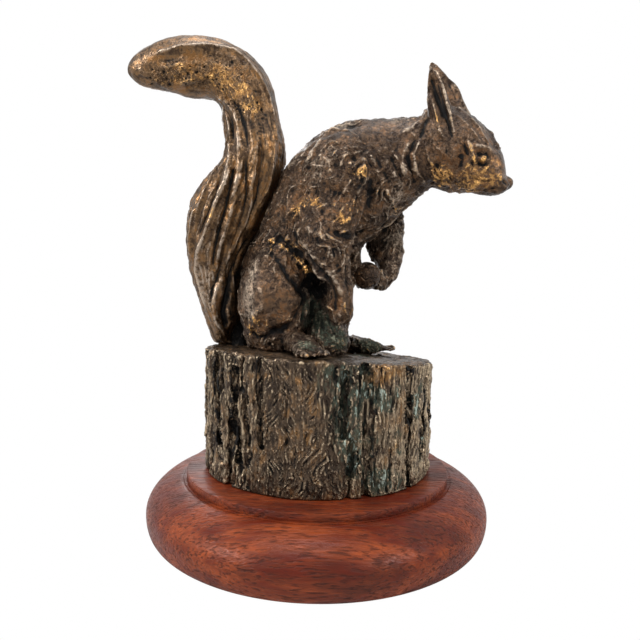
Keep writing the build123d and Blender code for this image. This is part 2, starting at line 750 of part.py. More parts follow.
def main():
    """Build every node and write it."""
    os.makedirs("parts", exist_ok=True)
    body = torso()
    hips = {"near": cut_by(haunch(-1), body), "far": cut_by(haunch(1), body)}
    brush = cut_by(tail(), body, hips["near"], hips["far"])
    skull = cut_by(head(), body)
    ears = {
        "near": cut_by(ear(-1, NEAR_EAR_HEIGHT, NEAR_EAR_WIDTH, NEAR_EAR_LEAN), skull, body),
        "far": cut_by(ear(1, FAR_EAR_HEIGHT, FAR_EAR_WIDTH, FAR_EAR_LEAN), skull, body),
    }
    feet = {
        "near": cut_by(
            hind_foot(-NEAR_FOOT_SETBACK, -NEAR_FOOT_SPREAD, -NEAR_FOOT_TURN), body, hips["near"]
        ),
        "far": cut_by(hind_foot(-FAR_FOOT_SETBACK, FAR_FOOT_SPREAD, -FAR_FOOT_TURN), body, hips["far"]),
    }
    kernel = cut_by(nut(), body)
    near_arm = cut_by(near_foreleg(), body, hips["near"], kernel)
    far_arm = cut_by(far_foreleg(), body, kernel, near_arm)

    neck_pin = dowel(neck_place())
    tail_pin = dowel(tail_place())
    body = body - dowel_hole(neck_place()) - dowel_hole(tail_place())
    skull = skull - dowel_hole(neck_place())
    brush = brush - dowel_hole(tail_place())
    for place in stud_places():
        body -= place * Cylinder(
            STUD_RADIUS + DOWEL_CLEARANCE, STUD_ANCHOR + DOWEL_CLEARANCE, align=BASE
        )

    export("plinth", plinth())
    export("plinth_baize", baize())
    export("plinth_bolts", plinth_bolts())
    export("plinth_washers", plinth_washers())
    export("stump_shell", stump_shell())
    export("stump_bosses", stump_bosses())
    export("torso", largest(body))
    for side in ("near", "far"):
        export(f"{side}_haunch", hips[side])
        export(f"{side}_hind_foot", feet[side])
        export(f"{side}_ear", ears[side])
    export("near_foreleg", near_arm)
    export("far_foreleg", far_arm)
    export("nut", kernel)
    export("head", largest(skull))
    export("tail", largest(brush))
    export("neck_dowel", neck_pin)
    export("tail_dowel", tail_pin)
    export("figure_studs", figure_studs())
    export("stud_washers", stud_washers())
    export("stud_nuts", stud_nuts())


main()
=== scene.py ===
"""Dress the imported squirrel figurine: a chased bronze figure on a bark stump and a polished plinth."""

import logging
import math
from dataclasses import dataclass, field
from enum import Enum
from typing import Any, Iterable, NamedTuple, Optional, Sequence, Union

import bmesh
import bpy
import numpy as np
from mathutils import Matrix, Vector
from mathutils.bvhtree import BVHTree
from mathutils.kdtree import KDTree


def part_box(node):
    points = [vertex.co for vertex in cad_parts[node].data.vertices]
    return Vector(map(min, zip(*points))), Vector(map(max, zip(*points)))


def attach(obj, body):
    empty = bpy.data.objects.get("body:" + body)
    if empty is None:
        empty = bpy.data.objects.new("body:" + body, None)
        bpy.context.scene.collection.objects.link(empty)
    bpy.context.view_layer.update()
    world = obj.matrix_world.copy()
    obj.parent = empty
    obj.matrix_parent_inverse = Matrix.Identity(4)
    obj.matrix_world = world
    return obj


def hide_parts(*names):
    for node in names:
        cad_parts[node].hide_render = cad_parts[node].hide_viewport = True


LOG = logging.getLogger("squirrel")
MM = 0.001  # a millimetre, in metres
BATCH = 20_000  # points compared with a line at once, so that the tables of distances stay small
MOST_TRIANGLES = 196_000  # in one piece
WHITE = (1.0, 1.0, 1.0, 1.0)
Colour = tuple[float, float, float, float]
Path = tuple[tuple[float, float], ...]

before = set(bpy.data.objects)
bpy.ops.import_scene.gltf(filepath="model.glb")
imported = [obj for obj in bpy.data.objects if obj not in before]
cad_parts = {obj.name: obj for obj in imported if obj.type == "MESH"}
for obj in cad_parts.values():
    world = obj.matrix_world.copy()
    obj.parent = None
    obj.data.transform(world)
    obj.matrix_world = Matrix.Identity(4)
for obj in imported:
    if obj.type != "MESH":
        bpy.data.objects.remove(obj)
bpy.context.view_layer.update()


class Slot(Enum):
    """Material slots of the record."""

    HARDWOOD = "hardwood"
    BAIZE = "baize"
    STEEL = "steel"
    STUMP = "stump_bronze"
    FIGURE = "figure_bronze"


def add_object(name: str, data: bpy.types.ID) -> bpy.types.Object:
    """Add an object with this data to the scene."""
    added = bpy.data.objects.new(name, data)
    bpy.context.scene.collection.objects.link(added)
    return added


# ---------------------------------------------------------------- viewpoint


@dataclass(frozen=True)
class Viewpoint:
    """Where the figurine is seen from, in millimetres, and pixels of a 640 by 640 frame."""

    focal: float = 495.0
    frame_size: float = 640.0
    distance: float = 295.0
    height: float = 123.0
    horizon: float = 305.0
    roll: float = math.radians(1.0)
    sensor: float = 36.0

    def eye(self) -> Vector:
        """The camera's place, in millimetres."""
        return Vector((0.0, -self.distance, self.height))

    def sight(self, x: float, y: float) -> Vector:
        """The direction in which a place of the frame is seen.

        Args:
            x: Pixels from the frame's left edge.
            y: Pixels from the frame's top edge.

        Returns:
            A unit vector.
        """
        across, down = x - self.frame_size / 2, y - self.horizon
        cos, sin = math.cos(self.roll), math.sin(self.roll)
        right = cos * across + sin * down
        below = cos * down - sin * across
        return Vector((right / self.focal, 1.0, -below / self.focal)).normalized()

    def make_camera(self) -> None:
        """Add the camera and make it the scene's own."""
        data = bpy.data.cameras.new("camera")
        data.sensor_width = self.sensor
        data.lens = self.sensor * self.focal / self.frame_size
        data.shift_y = (self.horizon - self.frame_size / 2) / self.frame_size
        data.clip_start = 0.01
        camera = add_object("camera", data)
        cos, sin = math.cos(self.roll), math.sin(self.roll)
        place = Matrix(
            ((cos, -sin, 0.0, 0.0), (0.0, 0.0, -1.0, 0.0), (sin, cos, 0.0, 0.0), (0.0, 0.0, 0.0, 1.0))
        )
        place.translation = self.eye() * MM
        camera.matrix_world = place
        bpy.context.scene.camera = camera


VIEW = Viewpoint()


# ---------------------------------------------------------------- noise

# the primes and bit masks of the integer hash
CELL_PRIMES = (73856093, 19349663, 83492791)
STREAM_PRIMES = (1299709, 15485863)
MIX_PRIMES = (1274126177, 1103515245)
WORD = 0x7FFFFFFF
FRACTION = 0xFFFFFF


@dataclass(frozen=True)
class LatticeNoise:
    """Repeatable noise over points in space, from an integer hash of the lattice."""

    seed: int

    def hashed(self, cells: np.ndarray, stream: int) -> np.ndarray:
        """A number from 0 to 1 for each lattice cell.

        Args:
            cells: Integer cells, one per row.
            stream: Picks one of several independent numbers.

        Returns:
            One number per row.
        """
        x, y, z = (cells[:, axis] * prime for axis, prime in enumerate(CELL_PRIMES))
        mix = x ^ y ^ z ^ (self.seed * STREAM_PRIMES[0] + stream * STREAM_PRIMES[1])
        for prime in MIX_PRIMES:
            mix = ((mix ^ (mix >> 13)) & WORD) * prime
        return ((mix ^ (mix >> 16)) & FRACTION) / float(FRACTION)

    def smooth(self, points: np.ndarray) -> np.ndarray:
        """Gradient noise of about -1 to 1 whose features are one unit apart."""
        base = np.floor(points).astype(np.int64)
        part = points - base
        fade = part * part * part * (part * (part * 6 - 15) + 10)
        total = np.zeros(len(points))
        for corner in np.ndindex(2, 2, 2):
            step = np.array(corner)
            cells = base + step
            away = part - step
            slope = sum((self.hashed(cells, axis) * 2 - 1) * away[:, axis] for axis in range(3))
            weight = np.prod(np.where(step == 1, fade, 1 - fade), axis=1)
            total += weight * slope
        return total * 1.6

    def fractal(self, points: np.ndarray, octaves: int = 3) -> np.ndarray:
        """Several octaves of smooth noise, each half as large and twice as fine."""
        return sum(self.smooth(points * 2**i + 17.3 * i) / 2**i for i in range(octaves))

    def cracks(self, points: np.ndarray) -> tuple[np.ndarray, np.ndarray]:
        """Cells about one unit across.

        Args:
            points: Places, one per row.

        Returns:
            How far each place is from the nearest wall between cells, and a number for its cell.
        """
        base = np.floor(points).astype(np.int64)
        near = np.full(len(points), 9.0)
        second = np.full(len(points), 9.0)
        mark = np.zeros(len(points))
        for offset in np.ndindex(3, 3, 3):
            cells = base + np.array(offset) - 1
            spot = cells + np.stack([self.hashed(cells, 4 + axis) for axis in range(3)], axis=1)
            gap = np.linalg.norm(points - spot, axis=1)
            closer = gap < near
            second = np.where(closer, near, np.minimum(second, gap))
            mark = np.where(closer, self.hashed(cells, 9), mark)
            near = np.where(closer, gap, near)
        return second - near, mark


def ramp(values: np.ndarray, low: float, high: float) -> np.ndarray:
    """A smooth step from 0 at low to 1 at high."""
    part = np.clip((values - low) / (high - low), 0.0, 1.0)
    return part * part * (3 - 2 * part)


# ---------------------------------------------------------------- carving


def unit_rows(rows: np.ndarray, least: float = 1e-9) -> np.ndarray:
    """Vectors scaled to a length of one, with the shortest ones taken to be of the least length."""
    return rows / np.maximum(np.linalg.norm(rows, axis=1, keepdims=True), least)


def laid_flat(rows: np.ndarray, normals: np.ndarray) -> np.ndarray:
    """Vectors without what points out of a surface with these normals."""
    return rows - normals * (rows * normals).sum(axis=1, keepdims=True)


def ease(line: np.ndarray, rounds: int) -> None:
    """Smooth the points between the ends of a line, in place."""
    for _ in range(rounds):
        line[1:-1] = (line[:-2] + 2 * line[1:-1] + line[2:]) / 4


class Relief:
    """The surface of a mesh in millimetres, open to carving."""

    def __init__(self, mesh: bpy.types.Mesh) -> None:
        """Read the mesh's points, edges and triangles."""
        self.mesh = mesh
        flat = np.empty(len(mesh.vertices) * 3, dtype=np.float32)
        mesh.vertices.foreach_get("co", flat)
        self.points = flat.reshape(-1, 3).astype(np.float64) / MM
        pairs = np.empty(len(mesh.edges) * 2, dtype=np.int32)
        mesh.edges.foreach_get("vertices", pairs)
        self.starts, self.ends = pairs.reshape(-1, 2).T
        self.degree = self.gathered(np.ones(len(self.starts)), np.ones(len(self.starts)))
        mesh.calc_loop_triangles()
        corners = np.empty(len(mesh.loop_triangles) * 3, dtype=np.int32)
        mesh.loop_triangles.foreach_get("vertices", corners)
        self.triangles = corners.reshape(-1, 3)

    def gathered(self, to_starts: np.ndarray, to_ends: np.ndarray) -> np.ndarray:
        """Sum numbers of the edges at their points."""
        count = len(self.points)
        return np.bincount(self.starts, to_starts, count) + np.bincount(self.ends, to_ends, count)

    def average(self, values: np.ndarray, rounds: int) -> np.ndarray:
        """Blur a number or a vector of each point over its neighbours.

        Args:
            values: One row or number per point.
            rounds: How often; each round reaches about one edge further.

        Returns:
            The blurred values.
        """
        if values.ndim == 2:
            return np.stack([self.average(column, rounds) for column in values.T], axis=1)
        for _ in range(rounds):
            around = self.gathered(values[self.ends], values[self.starts]) / self.degree
            values = (values + around) / 2
        return values

    def normals(self) -> np.ndarray:
        """Unit normals of the points."""
        first, second, third = (self.points[self.triangles[:, i]] for i in range(3))
        face = np.cross(second - first, third - first)
        total = np.zeros_like(self.points)
        for corner in range(3):
            for axis in range(3):
                total[:, axis] += np.bincount(
                    self.triangles[:, corner], face[:, axis], len(self.points)
                )
        return unit_rows(total)

    def soften(self, rounds: int) -> None:
        """Smooth the surface."""
        self.points += self.average(self.points, rounds) - self.points

    def push(self, amount: np.ndarray) -> None:
        """Move each point along its normal, in millimetres."""
        self.points += self.normals() * amount[:, None]

    def convexity(self, rounds: int) -> np.ndarray:
        """How far each point stands out of its surroundings, in millimetres."""
        lag = self.points - self.average(self.points, rounds)
        return (lag * self.normals()).sum(axis=1)

    def tree(self) -> BVHTree:
        """A search tree of the surface."""
        return BVHTree.FromPolygons(self.points.tolist(), self.triangles.tolist())

    def store(self, name: str, values: np.ndarray) -> None:
        """Keep a number of each point in the mesh for its finish to read."""
        layer = self.mesh.attributes.new(name, "FLOAT", "POINT")
        layer.data.foreach_set("value", np.clip(values, 0.0, 1.0).astype(np.float32))

    def write(self) -> None:
        """Give the mesh its carved points."""
        self.mesh.vertices.foreach_set("co", (self.points * MM).astype(np.float32).ravel())
        self.mesh.shade_smooth()
        self.mesh.update()


def seen_points(tree: BVHTree, path: Path, spacing: float = 2.0) -> np.ndarray:
    """Lay a path of the frame on a surface.

    Args:
        tree: The surface, in millimetres.
        path: Places in the frame, in pixels.
        spacing: Pixels between the points laid.

    Returns:
        The points of the surface that the path passes over.
    """
    places = []
    for (x0, y0), (x1, y1) in zip(path, path[1:] or path):
        steps = max(1, round(math.hypot(x1 - x0, y1 - y0) / spacing))
        places += [(x0 + (x1 - x0) * i / steps, y0 + (y1 - y0) * i / steps) for i in range(steps)]
    places.append(path[-1])
    hits = [tree.ray_cast(VIEW.eye(), VIEW.sight(x, y))[0] for x, y in places]
    return np.array([tuple(hit) for hit in hits if hit is not None]).reshape(-1, 3)


@dataclass(frozen=True)
class Stroke:
    """One mark of the modelling tool, drawn over the picture frame.

    Lift and width are in millimetres, and a negative lift cuts.
    """

    lift: float
    width: float
    path: Path

    spacing = 0.8  # pixels between the points laid
    tapered = 9  # points over which an end fades

    def amount(self, relief: Relief, tree: BVHTree) -> np.ndarray:
        """How far the mark moves each point of a surface."""
        line = seen_points(tree, self.path, self.spacing)
        total = np.zeros(len(relief.points))
        if not len(line):
            return total
        reach = self.width * 3  # nothing is left of the mark beyond
        low, high = line.min(axis=0) - reach, line.max(axis=0) + reach
        near = np.nonzero(((relief.points > low) & (relief.points < high)).all(axis=1))[0]
        ends = np.minimum(np.arange(len(line)), np.arange(len(line))[::-1])
        taper = np.ones(len(line))
        if len(line) >= self.tapered:
            taper = np.clip((ends + 2.0) / self.tapered, 0.0, 1.0)
        best = np.zeros(len(near))
        for spot, strength in zip(line, taper):
            gap = ((relief.points[near] - spot) ** 2).sum(axis=1)
            best = np.maximum(best, strength * np.exp(-gap / self.width**2))
        total[near] = self.lift * best
        return total


@dataclass(frozen=True)
class Patch:
    """A round patch of the surface seen at a place of the frame, with its strength."""

    x: float
    y: float
    radius: float
    strength: float

    def amount(self, relief: Relief, tree: BVHTree) -> np.ndarray:
        """The patch's strength at each point, fading at its edge."""
        spots = seen_points(tree, ((self.x, self.y),))
        if not len(spots):
            return np.zeros(len(relief.points))
        gap = np.linalg.norm(relief.points - spots[0], axis=1)
        return self.strength * np.exp(-((gap / self.radius) ** 2))


def summed(items: Iterable[Union[Stroke, Patch]], relief: Relief, tree: BVHTree) -> np.ndarray:
    """The amounts of all these strokes or patches at each point of a surface."""
    return sum(item.amount(relief, tree) for item in items)


class Flow:
    """The direction in which the modelling runs, spread from lines laid on the surface.

    A line's pull fades with its squared distance plus the core, raised to the falloff.
    """

    core = 9.0
    falloff = 1.6

    def __init__(self, lines: Iterable[np.ndarray]) -> None:
        """Cut the lines into short runs."""
        lines = [line for line in lines if len(line) > 1]
        self.middles = np.concatenate([(line[:-1] + line[1:]) / 2 for line in lines])
        self.steps = unit_rows(np.concatenate([line[1:] - line[:-1] for line in lines]))

    def at(self, points: np.ndarray, normals: np.ndarray) -> np.ndarray:
        """The flow's unit direction along the surface at each point.

        Args:
            points: Places in millimetres, one per row.
            normals: The surface's normals there.

        Returns:
            Directions, one per row. Their sign has no meaning.
        """
        outer = (self.steps[:, :, None] * self.steps[:, None, :]).reshape(-1, 9)
        tensors = np.empty((len(points), 9))
        for first in range(0, len(points), BATCH):
            part = points[first : first + BATCH]
            gap = ((part[:, None, :] - self.middles[None, :, :]) ** 2).sum(axis=2)
            tensors[first : first + BATCH] = (1.0 / (gap + self.core) ** self.falloff) @ outer
        flat = np.eye(3) - normals[:, :, None] * normals[:, None, :]
        tensors = flat @ tensors.reshape(-1, 3, 3) @ flat
        return np.linalg.eigh(tensors)[1][:, :, 2]


@dataclass(frozen=True)
class Blade:
    """A modelling tool: the size of the marks that it leaves, in millimetres."""

    count: int
    length: tuple[float, float]
    width: tuple[float, float]
    depth: float
    burr: float
    wander: float = 0.25


class Marks:
    """Marks of modelling tools, each laid over the ones before it, as in wax."""

    step = 1.1  # millimetres between the places of a mark
    momentum = 0.4  # how much of its last direction a mark keeps
    blunt = 2.5  # steps over which a mark's end fades
    # across a mark, in its own widths: where its burrs stand, how wide they are, where it ends
    burr_place = 1.08
    burr_width = 0.26
    edge = 1.5
    fade = 0.45
    cover = 0.85  # how much a mark hides what lies under it

    def __init__(self, relief: Relief, lie: np.ndarray, seed: int) -> None:
        """Index the surface.

        Args:
            relief: The surface to mark.
            lie: The direction of the marks at each point.
            seed: Makes the marks repeatable.
        """
        self.points = relief.points.copy()
        self.normals = relief.normals()
        self.lie = lie
        self.chance = np.random.default_rng(seed)
        self.height = np.zeros(len(self.points))
        self.index = KDTree(len(self.points))
        for number, point in enumerate(self.points):
            self.index.insert(point, number)
        self.index.balance()

    def trace(self, start: int, steps: int, wander: float) -> tuple[np.ndarray, np.ndarray, np.ndarray]:
        """Follow the lie of the surface.

        Args:
            start: The point that the mark starts from.
            steps: How many steps to take.
            wander: How far the mark strays, in radians for each step.

        Returns:
            The places, directions and normals along the mark.
        """
        here, way = start, self.lie[start] * self.chance.choice((-1.0, 1.0))
        numbers = [start]
        for turn in self.chance.normal(0.0, wander, steps):
            ahead = self.lie[here] * (1.0 if self.lie[here] @ way >= 0 else -1.0)
            way = way * self.momentum + ahead + np.cross(self.normals[here], ahead) * turn
            way /= np.linalg.norm(way) + 1e-9
            here = self.index.find(self.points[here] + way * self.step)[1]
            numbers.append(here)
        line = self.points[numbers]
        ease(line, 2)
        heading = np.gradient(line, axis=0)
        heading /= np.linalg.norm(heading, axis=1, keepdims=True) + 1e-9
        return line, heading, self.normals[numbers]

    def press(self, blade: Blade, where: np.ndarray) -> None:
        """Make all the marks of one tool.

        Args:
            blade: The tool.
            where: How likely a mark is to start at each point.
        """
        odds = where / where.sum()
        for start in self.chance.choice(len(self.points), blade.count, p=odds):
            steps = max(3, round(self.chance.uniform(*blade.length) / self.step))
            width = self.chance.uniform(*blade.width)
            force = self.chance.uniform(0.6, 1.3)
            lean = self.chance.uniform(-1.0, 1.0)
            line, heading, normals = self.trace(start, steps, blade.wander)
            # the points within reach, and where each lies beside the mark and past its ends
            radius = width * self.edge + 0.6
            near = {hit[1] for spot in line[::2] for hit in self.index.find_range(spot, radius)}
            touched = np.fromiter(near, dtype=np.int64)
            away = self.points[touched][:, None, :] - line[None, :, :]
            nearest = (away**2).sum(axis=2).argmin(axis=1)
            away = away[np.arange(len(touched)), nearest]
            across = (away * np.cross(normals, heading)[nearest]).sum(axis=1) / width
            beyond = np.maximum(np.abs((away * heading[nearest]).sum(axis=1)) - self.step, 0.0) / width
            # a trough between two burrs, of which the tool's lean makes one the higher
            end = np.minimum(nearest, steps - nearest) / self.blunt
            reach = np.clip(end + 0.35, 0.0, 1.0) * np.exp(-(beyond**2) * 0.7)
            trough = -blade.depth * np.clip(1 - across**2, 0.0, 1.0) ** 1.5
            ridge = (np.abs(across) - self.burr_place) / self.burr_width
            edges = (1 + lean * np.sign(across)) * np.exp(-(ridge**2))
            cover = np.clip((self.edge - np.abs(across)) / self.fade, 0.0, 1.0) * reach * self.cover
            made = force * (trough + blade.burr * edges)
            self.height[touched] = self.height[touched] * (1 - cover) + made * cover


def swayed(lie: np.ndarray, normals: np.ndarray, angles: np.ndarray) -> np.ndarray:
    """Directions on a surface, each turned about its normal by an angle in radians."""
    return lie * np.cos(angles)[:, None] + np.cross(normals, lie) * np.sin(angles)[:, None]


def streaks(
    noise: LatticeNoise, points: np.ndarray, flow: np.ndarray, grain: float, length: float
) -> np.ndarray:
    """Noise drawn out into streaks.

    Args:
        noise: The noise to draw out.
        points: Places in millimetres, one per row.
        flow: The direction of the streaks at each place.
        grain: The width of a streak, in millimetres.
        length: The length of a streak, in millimetres.

    Returns:
        The streaks' height, of about -1 to 1.
    """
    taps = max(3, round(length / grain))
    total = np.zeros(len(points))
    for along in np.linspace(-length / 2, length / 2, taps):
        total += noise.smooth((points + flow * along) / grain)
    return total / (total.std() + 1e-9) / 2


# ---------------------------------------------------------------- meshes


def new_mesh(name: str, shape: bmesh.types.BMesh) -> bpy.types.Mesh:
    """A mesh made from a finished shape, which is freed."""
    mesh = bpy.data.meshes.new(name)
    shape.to_mesh(mesh)
    shape.free()
    return mesh


def modified(mesh: bpy.types.Mesh, kind: str, **settings: Any) -> bpy.types.Mesh:
    """Run a modifier over a mesh.

    Args:
        mesh: The mesh, which is removed afterwards.
        kind: The modifier's type.
        settings: Its properties.

    Returns:
        The new mesh, under the old one's name.
    """
    name = mesh.name
    blank = add_object("blank", mesh)
    modifier = blank.modifiers.new(kind, kind)
    for key, value in settings.items():
        setattr(modifier, key, value)
    depsgraph = bpy.context.evaluated_depsgraph_get()
    made = bpy.data.meshes.new_from_object(blank.evaluated_get(depsgraph))
    bpy.data.objects.remove(blank)
    bpy.data.meshes.remove(mesh)
    made.name = name
    return made


def scraped(name: str, voxel: float, *sources: bpy.types.Mesh) -> bpy.types.Mesh:
    """Fuse closed meshes into one even skin.

    Args:
        name: The new mesh's name.
        voxel: The size of its faces, in millimetres.
        sources: Closed meshes that may overlap.

    Returns:
        The fused mesh.
    """
    gathered = bmesh.new()
    for source in sources:
        gathered.from_mesh(source)
    bmesh.ops.remove_doubles(gathered, verts=gathered.verts, dist=1e-6)
    mesh = modified(new_mesh(name, gathered), "REMESH", mode="VOXEL", voxel_size=voxel * MM)
    keep_outer_skin(mesh)
    return mesh


def keep_outer_skin(mesh: bpy.types.Mesh) -> None:
    """Delete every shell of a mesh but its largest, such as the walls of a hollow inside it."""
    skin = bmesh.new()
    skin.from_mesh(mesh)
    unseen = set(skin.verts)
    shells = []
    while unseen:
        shell = {unseen.pop()}
        edge_of_search = list(shell)
        while edge_of_search:
            vert = edge_of_search.pop()
            for edge in vert.link_edges:
                other = edge.other_vert(vert)
                if other in unseen:
                    unseen.discard(other)
                    shell.add(other)
                    edge_of_search.append(other)
        shells.append(shell)
    shells.sort(key=len)
    spare = [vert for shell in shells[:-1] for vert in shell]
    bmesh.ops.delete(skin, geom=spare, context="VERTS")
    skin.to_mesh(mesh)
    skin.free()


def cut_apart(mesh: bpy.types.Mesh, name: str, plane: tuple[Vector, Vector]) -> bpy.types.Mesh:
    """Cut a closed mesh in two along a plane, with both halves closed again.

    Args:
        mesh: The mesh, which keeps the half behind the plane.
        name: The name of the half in front of the plane.
        plane: A point of the plane, and its normal.

    Returns:
        The half in front of the plane.
    """
    front = bpy.data.meshes.new(name)
    for half, sign in ((front, -1.0), (mesh, 1.0)):
        shape = bmesh.new()
        shape.from_mesh(mesh)
        cut = bmesh.ops.bisect_plane(
            shape,
            geom=shape.verts[:] + shape.edges[:] + shape.faces[:],
            plane_co=plane[0],
            plane_no=plane[1] * sign,
            clear_outer=True,
        )["geom_cut"]
        rim = [item for item in cut if isinstance(item, bmesh.types.BMEdge)]
        bmesh.ops.holes_fill(shape, edges=rim, sides=0)
        for edge in rim:
            edge.smooth = False
        shape.to_mesh(half)
        shape.free()
    return front


def thinned(mesh: bpy.types.Mesh) -> bpy.types.Mesh:
    """Merge the flattest triangles of a carved mesh that has too many, or return it as it is."""
    mesh.calc_loop_triangles()
    count = len(mesh.loop_triangles)
    if count <= MOST_TRIANGLES:
        return mesh
    return modified(mesh, "DECIMATE", ratio=MOST_TRIANGLES / count)


def node_mesh(node: str) -> bpy.types.Mesh:
    """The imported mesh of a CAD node, which is only read."""
    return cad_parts[node].data


def set_piece(
    name: str, mesh: bpy.types.Mesh, slot: Slot, material: bpy.types.Material, *nodes: str
) -> bpy.types.Object:
    """Add a finished piece in place of some CAD nodes.

    Args:
        name: The piece's name.
        mesh: Its mesh, in place.
        slot: The record's material slot; not used.
        material: Its finish.
        nodes: The CAD nodes that it stands for.

    Returns:
        The new object.
    """
    piece = add_object(name, mesh)
    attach(piece, "root")
    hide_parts(*nodes)
    mesh.materials.append(material)
    return piece


@dataclass(frozen=True)
class Lump:
    """A rounded mass of wax pressed on to the figure, in the figure's own frame.

    The centre is (along, across, up) in millimetres, the radii lie along the lump's own axes, and
    the turn is (roll, pitch, yaw) in degrees.
    """

    centre: tuple[float, float, float]
    radii: tuple[float, float, float]
    turn: tuple[float, float, float] = (0.0, 0.0, 0.0)

    def mesh(self, place: Matrix) -> bpy.types.Mesh:
        """The lump's mesh, with the figure's frame set at a place."""
        roll, pitch, yaw = (math.radians(angle) for angle in self.turn)
        turned = Matrix.Rotation(yaw, 4, "Z") @ Matrix.Rotation(pitch, 4, "Y")
        turned = turned @ Matrix.Rotation(roll, 4, "X")
        grown = Matrix.Diagonal((*(radius * MM for radius in self.radii), 1.0))
        spot = Matrix.Translation(Vector(self.centre) * MM)
        shape = bmesh.new()
        matrix = place @ spot @ turned @ grown
        bmesh.ops.create_icosphere(shape, subdivisions=4, radius=1.0, matrix=matrix)
        return new_mesh("lump", shape)


# ---------------------------------------------------------------- finishes


class Level:
    """A number that varies over a surface, with Python's own operators."""

    def __init__(self, finish: "Finish", socket: bpy.types.NodeSocket) -> None:
        """Wrap a socket of the finish's node tree."""
        self.finish = finish
        self.socket = socket

    def maths(self, operation: str, *values: Any) -> "Level":
        """Add one Math node fed by the given values."""
        inputs = dict(enumerate(values))
        node = self.finish.node("ShaderNodeMath", {"operation": operation}, inputs)
        return Level(self.finish, node.outputs[0])

    def __add__(self, other: Any) -> "Level":
        """Sum."""
        return self.maths("ADD", self, other)

    __radd__ = __add__

    def __sub__(self, other: Any) -> "Level":
        """Difference."""
        return self.maths("SUBTRACT", self, other)

    def __rsub__(self, other: Any) -> "Level":
        """Difference the other way round."""
        return self.maths("SUBTRACT", other, self)

    def __mul__(self, other: Any) -> "Level":
        """Product."""
        return self.maths("MULTIPLY", self, other)

    __rmul__ = __mul__

    def over(self, other: Any) -> "Level":
        """The larger of two levels."""
        return self.maths("MAXIMUM", self, other)

    def line(self, width: float) -> "Level":
        """Thin lines, from 0 to 1, where the level passes one half."""
        return (1 - self.maths("ABSOLUTE", self - 0.5) * (1 / width)).over(0.0)

    def step(self, low: float, high: float) -> "Level":
        """A smooth step from 0 at low to 1 at high."""
        node = self.finish.node(
            "ShaderNodeMapRange",
            {"interpolation_type": "SMOOTHSTEP"},
            {"Value": self, "From Min": low, "From Max": high},
        )
        return Level(self.finish, node.outputs["Result"])


class Graph:
    """A node tree, emptied to be built anew."""

    def __init__(self, tree: bpy.types.NodeTree) -> None:
        """Empty the tree."""
        self.tree = tree
        self.tree.nodes.clear()

    def feed(self, socket: bpy.types.NodeSocket, value: Any) -> None:
        """Set a socket to a value, or link it to a level or another socket."""
        if isinstance(value, Level):
            value = value.socket
        if isinstance(value, bpy.types.NodeSocket):
            self.tree.links.new(value, socket)
        else:
            socket.default_value = value

    def node(
        self,
        kind: str,
        settings: Optional[dict[str, Any]] = None,
        inputs: Optional[dict[Any, Any]] = None,
    ) -> bpy.types.Node:
        """Add a node.

        Args:
            kind: The node's type.
            settings: Its properties, set first.
            inputs: Values or links for its sockets, by name or number.

        Returns:
            The node.
        """
        node = self.tree.nodes.new(kind)
        for key, value in (settings or {}).items():
            setattr(node, key, value)
        for key, value in (inputs or {}).items():
            self.feed(node.inputs[key], value)
        return node


class Finish(Graph):
    """A node material with one Principled shader."""

    def __init__(self, name: str) -> None:
        """Make the material with its shader and output."""
        self.material = bpy.data.materials.new(name)
        self.material.use_nodes = True
        super().__init__(self.material.node_tree)
        self.shader = self.node("ShaderNodeBsdfPrincipled")
        self.node("ShaderNodeOutputMaterial", inputs={"Surface": self.shader.outputs["BSDF"]})
        self.coordinates = self.node("ShaderNodeTexCoord").outputs["Object"]

    def attribute(self, name: str) -> Level:
        """A number kept in the mesh."""
        node = self.node("ShaderNodeAttribute", {"attribute_name": name})
        return Level(self, node.outputs["Fac"])

    def stretched(self, scale: Sequence[float], turn: Sequence[float] = (0.0, 0.0, 0.0)) -> Any:
        """Object coordinates turned, then scaled, for a pattern."""
        node = self.node(
            "ShaderNodeMapping",
            {"vector_type": "POINT"},
            {"Vector": self.coordinates, "Scale": tuple(scale), "Rotation": tuple(turn)},
        )
        return node.outputs["Vector"]

    def noise(
        self, size: float, detail: float = 3.0, coordinates: Any = None, warp: float = 0.0
    ) -> Level:
        """Noise from 0 to 1 with features of a size in millimetres."""
        node = self.node(
            "ShaderNodeTexNoise",
            {"noise_dimensions": "3D"},
            {
                "Vector": self.coordinates if coordinates is None else coordinates,
                "Scale": 1.0 / (size * MM),
                "Detail": detail,
                "Distortion": warp,
            },
        )
        return Level(self, node.outputs[0])

    def blend(self, amount: Any, low: Any, high: Any) -> Any:
        """Mix two colours by a level."""
        node = self.node("ShaderNodeMix", {"data_type": "RGBA"}, {0: amount, 6: low, 7: high})
        return node.outputs[2]

    def bump(self, height: Level, distance: float, below: Any = None) -> Any:
        """A bumped normal, with its height in millimetres."""
        inputs = {"Height": height, "Distance": distance * MM, "Strength": 1.0}
        if below is not None:
            inputs["Normal"] = below
        return self.node("ShaderNodeBump", None, inputs).outputs["Normal"]

    def set(self, **sockets: Any) -> None:
        """Set or link sockets of the shader, with spaces written as underscores."""
        for key, value in sockets.items():
            self.feed(self.shader.inputs[key.replace("_", " ")], value)


def rgb(red: int, green: int, blue: int) -> Colour:
    """A colour from its screen values of 0 to 255."""

    def linear(value: float) -> float:
        """One channel, made linear."""
        share = value / 255.0
        return share / 12.92 if share <= 0.04045 else ((share + 0.055) / 1.055) ** 2.4

    return linear(red), linear(green), linear(blue), 1.0


